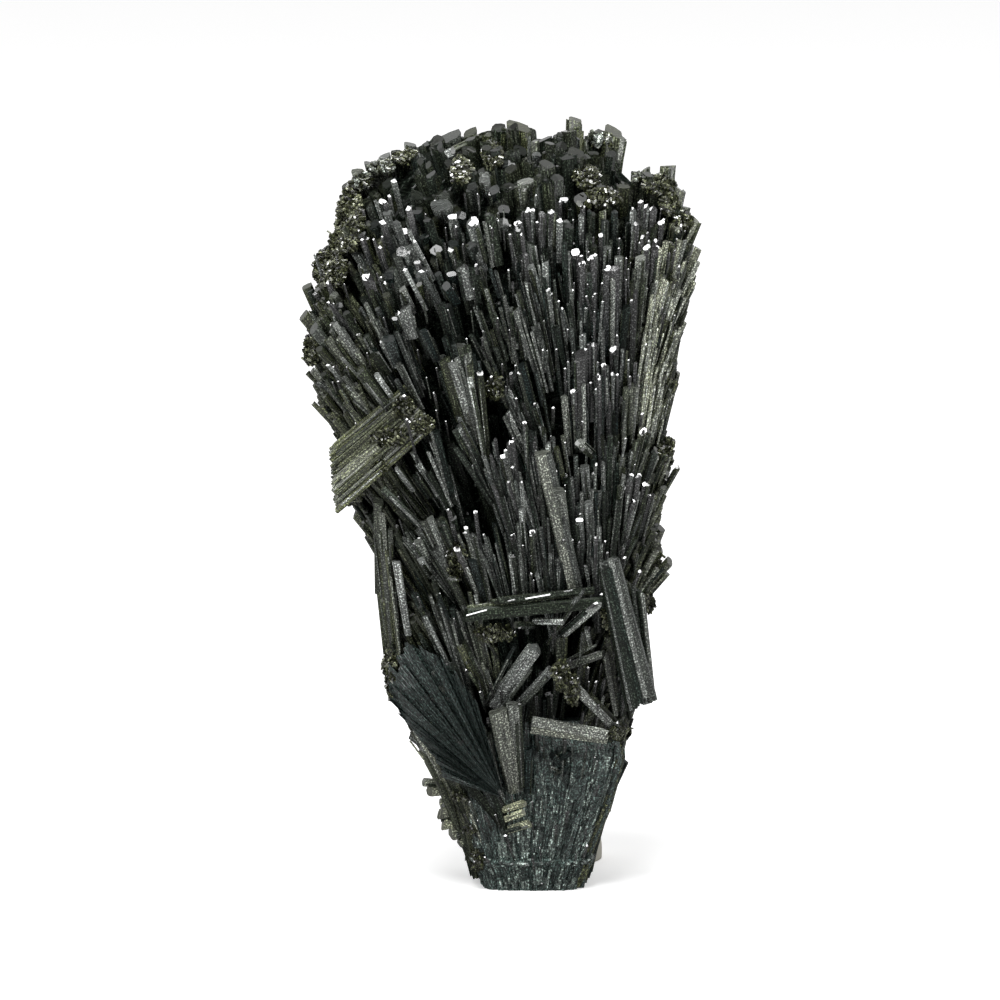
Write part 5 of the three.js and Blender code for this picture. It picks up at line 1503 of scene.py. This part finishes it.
# %% The smooth fan
SMOOTH_APEX = (-3.4, 9.6)
SMOOTH_RIM = np.array([
    # x, height, from the lower border round to the upper right, mm
    (-10.6, 12.0), (-12.0, 14.8), (-14.2, 17.6), (-16.4, 20.6), (-16.6, 23.6), (-15.8, 26.2), (-13.8, 27.2),
    (-11.4, 26.4), (-8.8, 23.8), (-6.6, 20.8),
])
SMOOTH_RAYS, SMOOTH_STEPS = 180, 40
RAYS_TOGETHER = 4                # these many end alike and share a ridge
SMOOTH_START = 0.06              # the sheet starts this share of a ray away from the apex
SMOOTH_WIDTH = 24.0              # along its rim, for the lines on its face, mm
SMOOTH_LIFT = 1.9                # how far it stands out of the body, mm
SMOOTH_SIDE = -3.5               # it curves back no further than this y, mm


def smooth_fan():
    """Places apex + r (rim(s) - apex): along each ray at the back, then back along its front."""
    place = np.linspace(0, len(SMOOTH_RIM) - 1, SMOOTH_RAYS)
    ridge, end = (
        np.repeat(rng.normal(0, 1, SMOOTH_RAYS // RAYS_TOGETHER), RAYS_TOGETHER)[:, None] for _ in range(2))
    ridge = 0.14 * ridge + 0.07 * rng.normal(0, 1, (SMOOTH_RAYS, 1))
    reach = np.linspace(SMOOTH_START, 1, SMOOTH_STEPS)
    x, up = (
        apex + reach * (1 + 0.03 * end) * (np.interp(place, range(len(SMOOTH_RIM)), rim)[:, None] - apex)
        for apex, rim in zip(SMOOTH_APEX, SMOOTH_RIM.T))
    depth = np.minimum(front_depth(x, up), SMOOTH_SIDE) - SMOOTH_LIFT
    front = seen(x, up, depth - ridge * np.minimum(1, 2 * reach))
    back = seen(x, up, depth + 0.5 + reach)
    corners, faces, uv, tint = grid_part(np.concatenate([back, front[:, ::-1]], axis=1), FOOT_TEAL * 0.5)
    across = np.repeat(np.linspace(0, SMOOTH_WIDTH, SMOOTH_RAYS), 2 * SMOOTH_STEPS)
    return corners, faces, np.stack([across, uv[:, 0]], axis=1), tint


put_mesh("wedge_fan", [smooth_fan()], FOOT_EPIDOTE, SPRAY_NODE)

# %% [markdown]
# ## The dab of putty
# A small lump of off-white display putty steadies the foot from behind. It
# is a dome that is pressed flat where it meets the foot.

# %% The putty
putty_low, putty_high = (np.array(corner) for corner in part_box(PUTTY_NODE))
PUTTY_HALF_DEPTH = 4.4 * MM
PUTTY_POWER = 2.6                # 2 would be an ellipsoid, more is fuller
PUTTY_WOBBLE = 0.02
PUTTY_RINGS, PUTTY_SIDES = 40, 96


def putty_surface():
    """A dome z = h (1 - r^2.6)^(1/2.6) on an ellipse, clipped flat in front."""
    middle_x = (putty_low[0] + putty_high[0]) / 2
    half_x = (putty_high[0] - putty_low[0]) / 2
    half_y = PUTTY_HALF_DEPTH
    middle_y = putty_high[1] - half_y
    height = putty_high[2]
    turn = np.linspace(0, 2 * np.pi, PUTTY_SIDES, endpoint=False)
    rise = np.sin(np.linspace(0, np.pi / 2, PUTTY_RINGS))[:, None] * 0.999
    size = (1 - rise**PUTTY_POWER) ** (1 / PUTTY_POWER)
    wobble = 1 - PUTTY_WOBBLE + PUTTY_WOBBLE * np.sin(3 * turn + 4 * rise) * np.cos(2 * turn - 3 * rise)
    x = middle_x + half_x * size * wobble * np.cos(turn)
    y = np.maximum(middle_y + half_y * size * wobble * np.sin(turn), putty_low[1])
    z = np.broadcast_to(rise * height, x.shape)
    return np.stack([x, y, z], axis=-1)


PUTTY_LUMPS = 700.0              # soft lumps to the metre
PUTTY_SHADOW, PUTTY_LIGHT = (0.50, 0.48, 0.40, 1.0), (0.70, 0.68, 0.60, 1.0)
putty_material, putty_nodes, putty_links, putty_shader = new_material("display_putty")
putty_place = putty_nodes.new("ShaderNodeTexCoord")
putty_noise = putty_nodes.new("ShaderNodeTexNoise")
putty_noise.inputs["Scale"].default_value = PUTTY_LUMPS
putty_noise.inputs["Detail"].default_value = 4.0
putty_links.new(putty_place.outputs["Object"], putty_noise.inputs["Vector"])
putty_tone = putty_nodes.new("ShaderNodeMix")
putty_tone.data_type = "RGBA"
putty_tone.inputs["A"].default_value = PUTTY_SHADOW
putty_tone.inputs["B"].default_value = PUTTY_LIGHT
putty_links.new(putty_noise.outputs["Fac"], putty_tone.inputs["Factor"])
putty_links.new(putty_tone.outputs["Result"], putty_shader.inputs["Base Color"])
bumped(putty_nodes, putty_links, putty_noise.outputs["Fac"], 0.5, 0.15 * MM, putty_shader)
putty_shader.inputs["Roughness"].default_value = 0.6
putty = put_mesh("putty_lump", [grid_part(putty_surface(), np.ones(3))], [putty_material], PUTTY_NODE)
putty.data.shade_smooth()

# %% [markdown]
# ## The table
# A glossy dark crystal shows hardly anything but what it mirrors. A white
# table that ends soon in front of the specimen lights the faces that lean
# forwards and leaves the upright ones black, because those mirror the dark
# room. The crystals are shown a greyer table than the camera.

# %% The table
TABLE_FRONT, TABLE_BACK, TABLE_HALF = -0.17, 3.0, 2.0
WHITE = (1.0, 1.0, 1.0, 1.0)
TABLE_WHITE = (0.9, 0.9, 0.9, 1.0)             # as the camera sees it
TABLE_MIRRORED = (0.20, 0.20, 0.20, 1.0)       # as the crystals mirror it
TABLE_LIFT = 0.4                 # the camera sees the table this much whiter
table_mesh = bpy.data.meshes.new("table_top")
table_mesh.from_pydata(
    [(-TABLE_HALF, TABLE_FRONT, 0), (TABLE_HALF, TABLE_FRONT, 0),
     (TABLE_HALF, TABLE_BACK, 0), (-TABLE_HALF, TABLE_BACK, 0)], [], [(0, 1, 2, 3)],
)
table = new_object("table_top", table_mesh)
table_material, table_nodes, table_links, table_shader = new_material("white_table")
table_shader.inputs["Roughness"].default_value = 0.9
table_mesh.materials.append(table_material)
table_shader.inputs["Emission Color"].default_value = WHITE
table_ray = table_nodes.new("ShaderNodeLightPath")
table_tone = table_nodes.new("ShaderNodeMix")
table_tone.data_type = "RGBA"
table_tone.inputs["A"].default_value = TABLE_MIRRORED
table_tone.inputs["B"].default_value = TABLE_WHITE
table_links.new(table_ray.outputs["Is Camera Ray"], table_tone.inputs["Factor"])
table_links.new(table_tone.outputs["Result"], table_shader.inputs["Base Color"])
lifted = map_range(table_nodes, table_links, table_ray.outputs["Is Camera Ray"], 0.0, 1.0, 0.0, TABLE_LIFT)
table_links.new(lifted, table_shader.inputs["Emission Strength"])
print("table in m:", 2 * TABLE_HALF, "by", TABLE_BACK - TABLE_FRONT)

# %% [markdown]
# ## The surround
# The room is dark behind the camera and bright behind the specimen, so that
# faces turned to the viewer stay black and rims shine. The camera itself sees
# plain white.

# %% The surround
ROOM_FRONT, ROOM_BACK = 0.02, 0.85         # brightness behind the camera and behind the specimen
ROOM_TURNS = (-0.55, 0.3)        # the part of the Y direction over which it goes from one to the other
world = bpy.data.worlds.new("white_studio")
bpy.context.scene.world = world
world.use_nodes = True
world_nodes, world_links = world.node_tree.nodes, world.node_tree.links
background = world_nodes["Background"]
direction = world_nodes.new("ShaderNodeTexCoord")
split = world_nodes.new("ShaderNodeSeparateXYZ")
world_links.new(direction.outputs["Generated"], split.inputs["Vector"])
glow = map_range(world_nodes, world_links, split.outputs["Y"], *ROOM_TURNS, ROOM_FRONT, ROOM_BACK)
ray = world_nodes.new("ShaderNodeLightPath")
brightness = world_nodes.new("ShaderNodeMix")
brightness.data_type = "FLOAT"
brightness.inputs["B"].default_value = 1.0
world_links.new(ray.outputs["Is Camera Ray"], brightness.inputs["Factor"])
world_links.new(glow, brightness.inputs["A"])
world_links.new(brightness.outputs["Result"], background.inputs["Strength"])
background.inputs["Color"].default_value = WHITE
print("room's brightness from front to back:", ROOM_FRONT, "to", ROOM_BACK)

# %% [markdown]
# ## The lamps
# One softbox overhead makes the ends flash, and its size decides how many of
# them do. Two standing ones, out of the camera's sight, draw soft streaks
# along the upright faces. Their powers are low, because the table and the
# surround already give most of the light.

# %% The lamps
LAMP_SIZE, LAMP_POWER = 0.3, 5.0               # metres and watts
STANDING_HEIGHT, STANDING_TALL = 0.05, 0.9     # middle and length of a standing softbox, m


def softbox(name, shape, place, aim, wide, tall, watts):
    """A lamp wide by tall metres at a place, turned to face its aim."""
    data = bpy.data.lights.new(name, "AREA")
    data.shape = shape
    data.size, data.size_y = wide, tall
    data.energy = watts
    lamp = new_object(name, data)
    lamp.location = place
    lamp.rotation_euler = Vector(np.subtract(place, aim)).to_track_quat("Z", "Y").to_euler()
    print(name, "at", [round(float(along), 2) for along in place])


softbox("overhead_softbox", "SQUARE", LAMP_PLACE, LAMP_AIM, LAMP_SIZE, LAMP_SIZE, LAMP_POWER)
for side, x, y, wide, watts in (("left", -0.38, -0.47, 0.22, 2.3), ("right", 0.46, -0.40, 0.20, 2.0)):
    softbox(
        side + "_softbox", "RECTANGLE", (x, y, STANDING_HEIGHT), (0.0, 0.0, STANDING_HEIGHT),
        wide, STANDING_TALL, watts)
bpy.context.scene.view_settings.view_transform = "Standard"
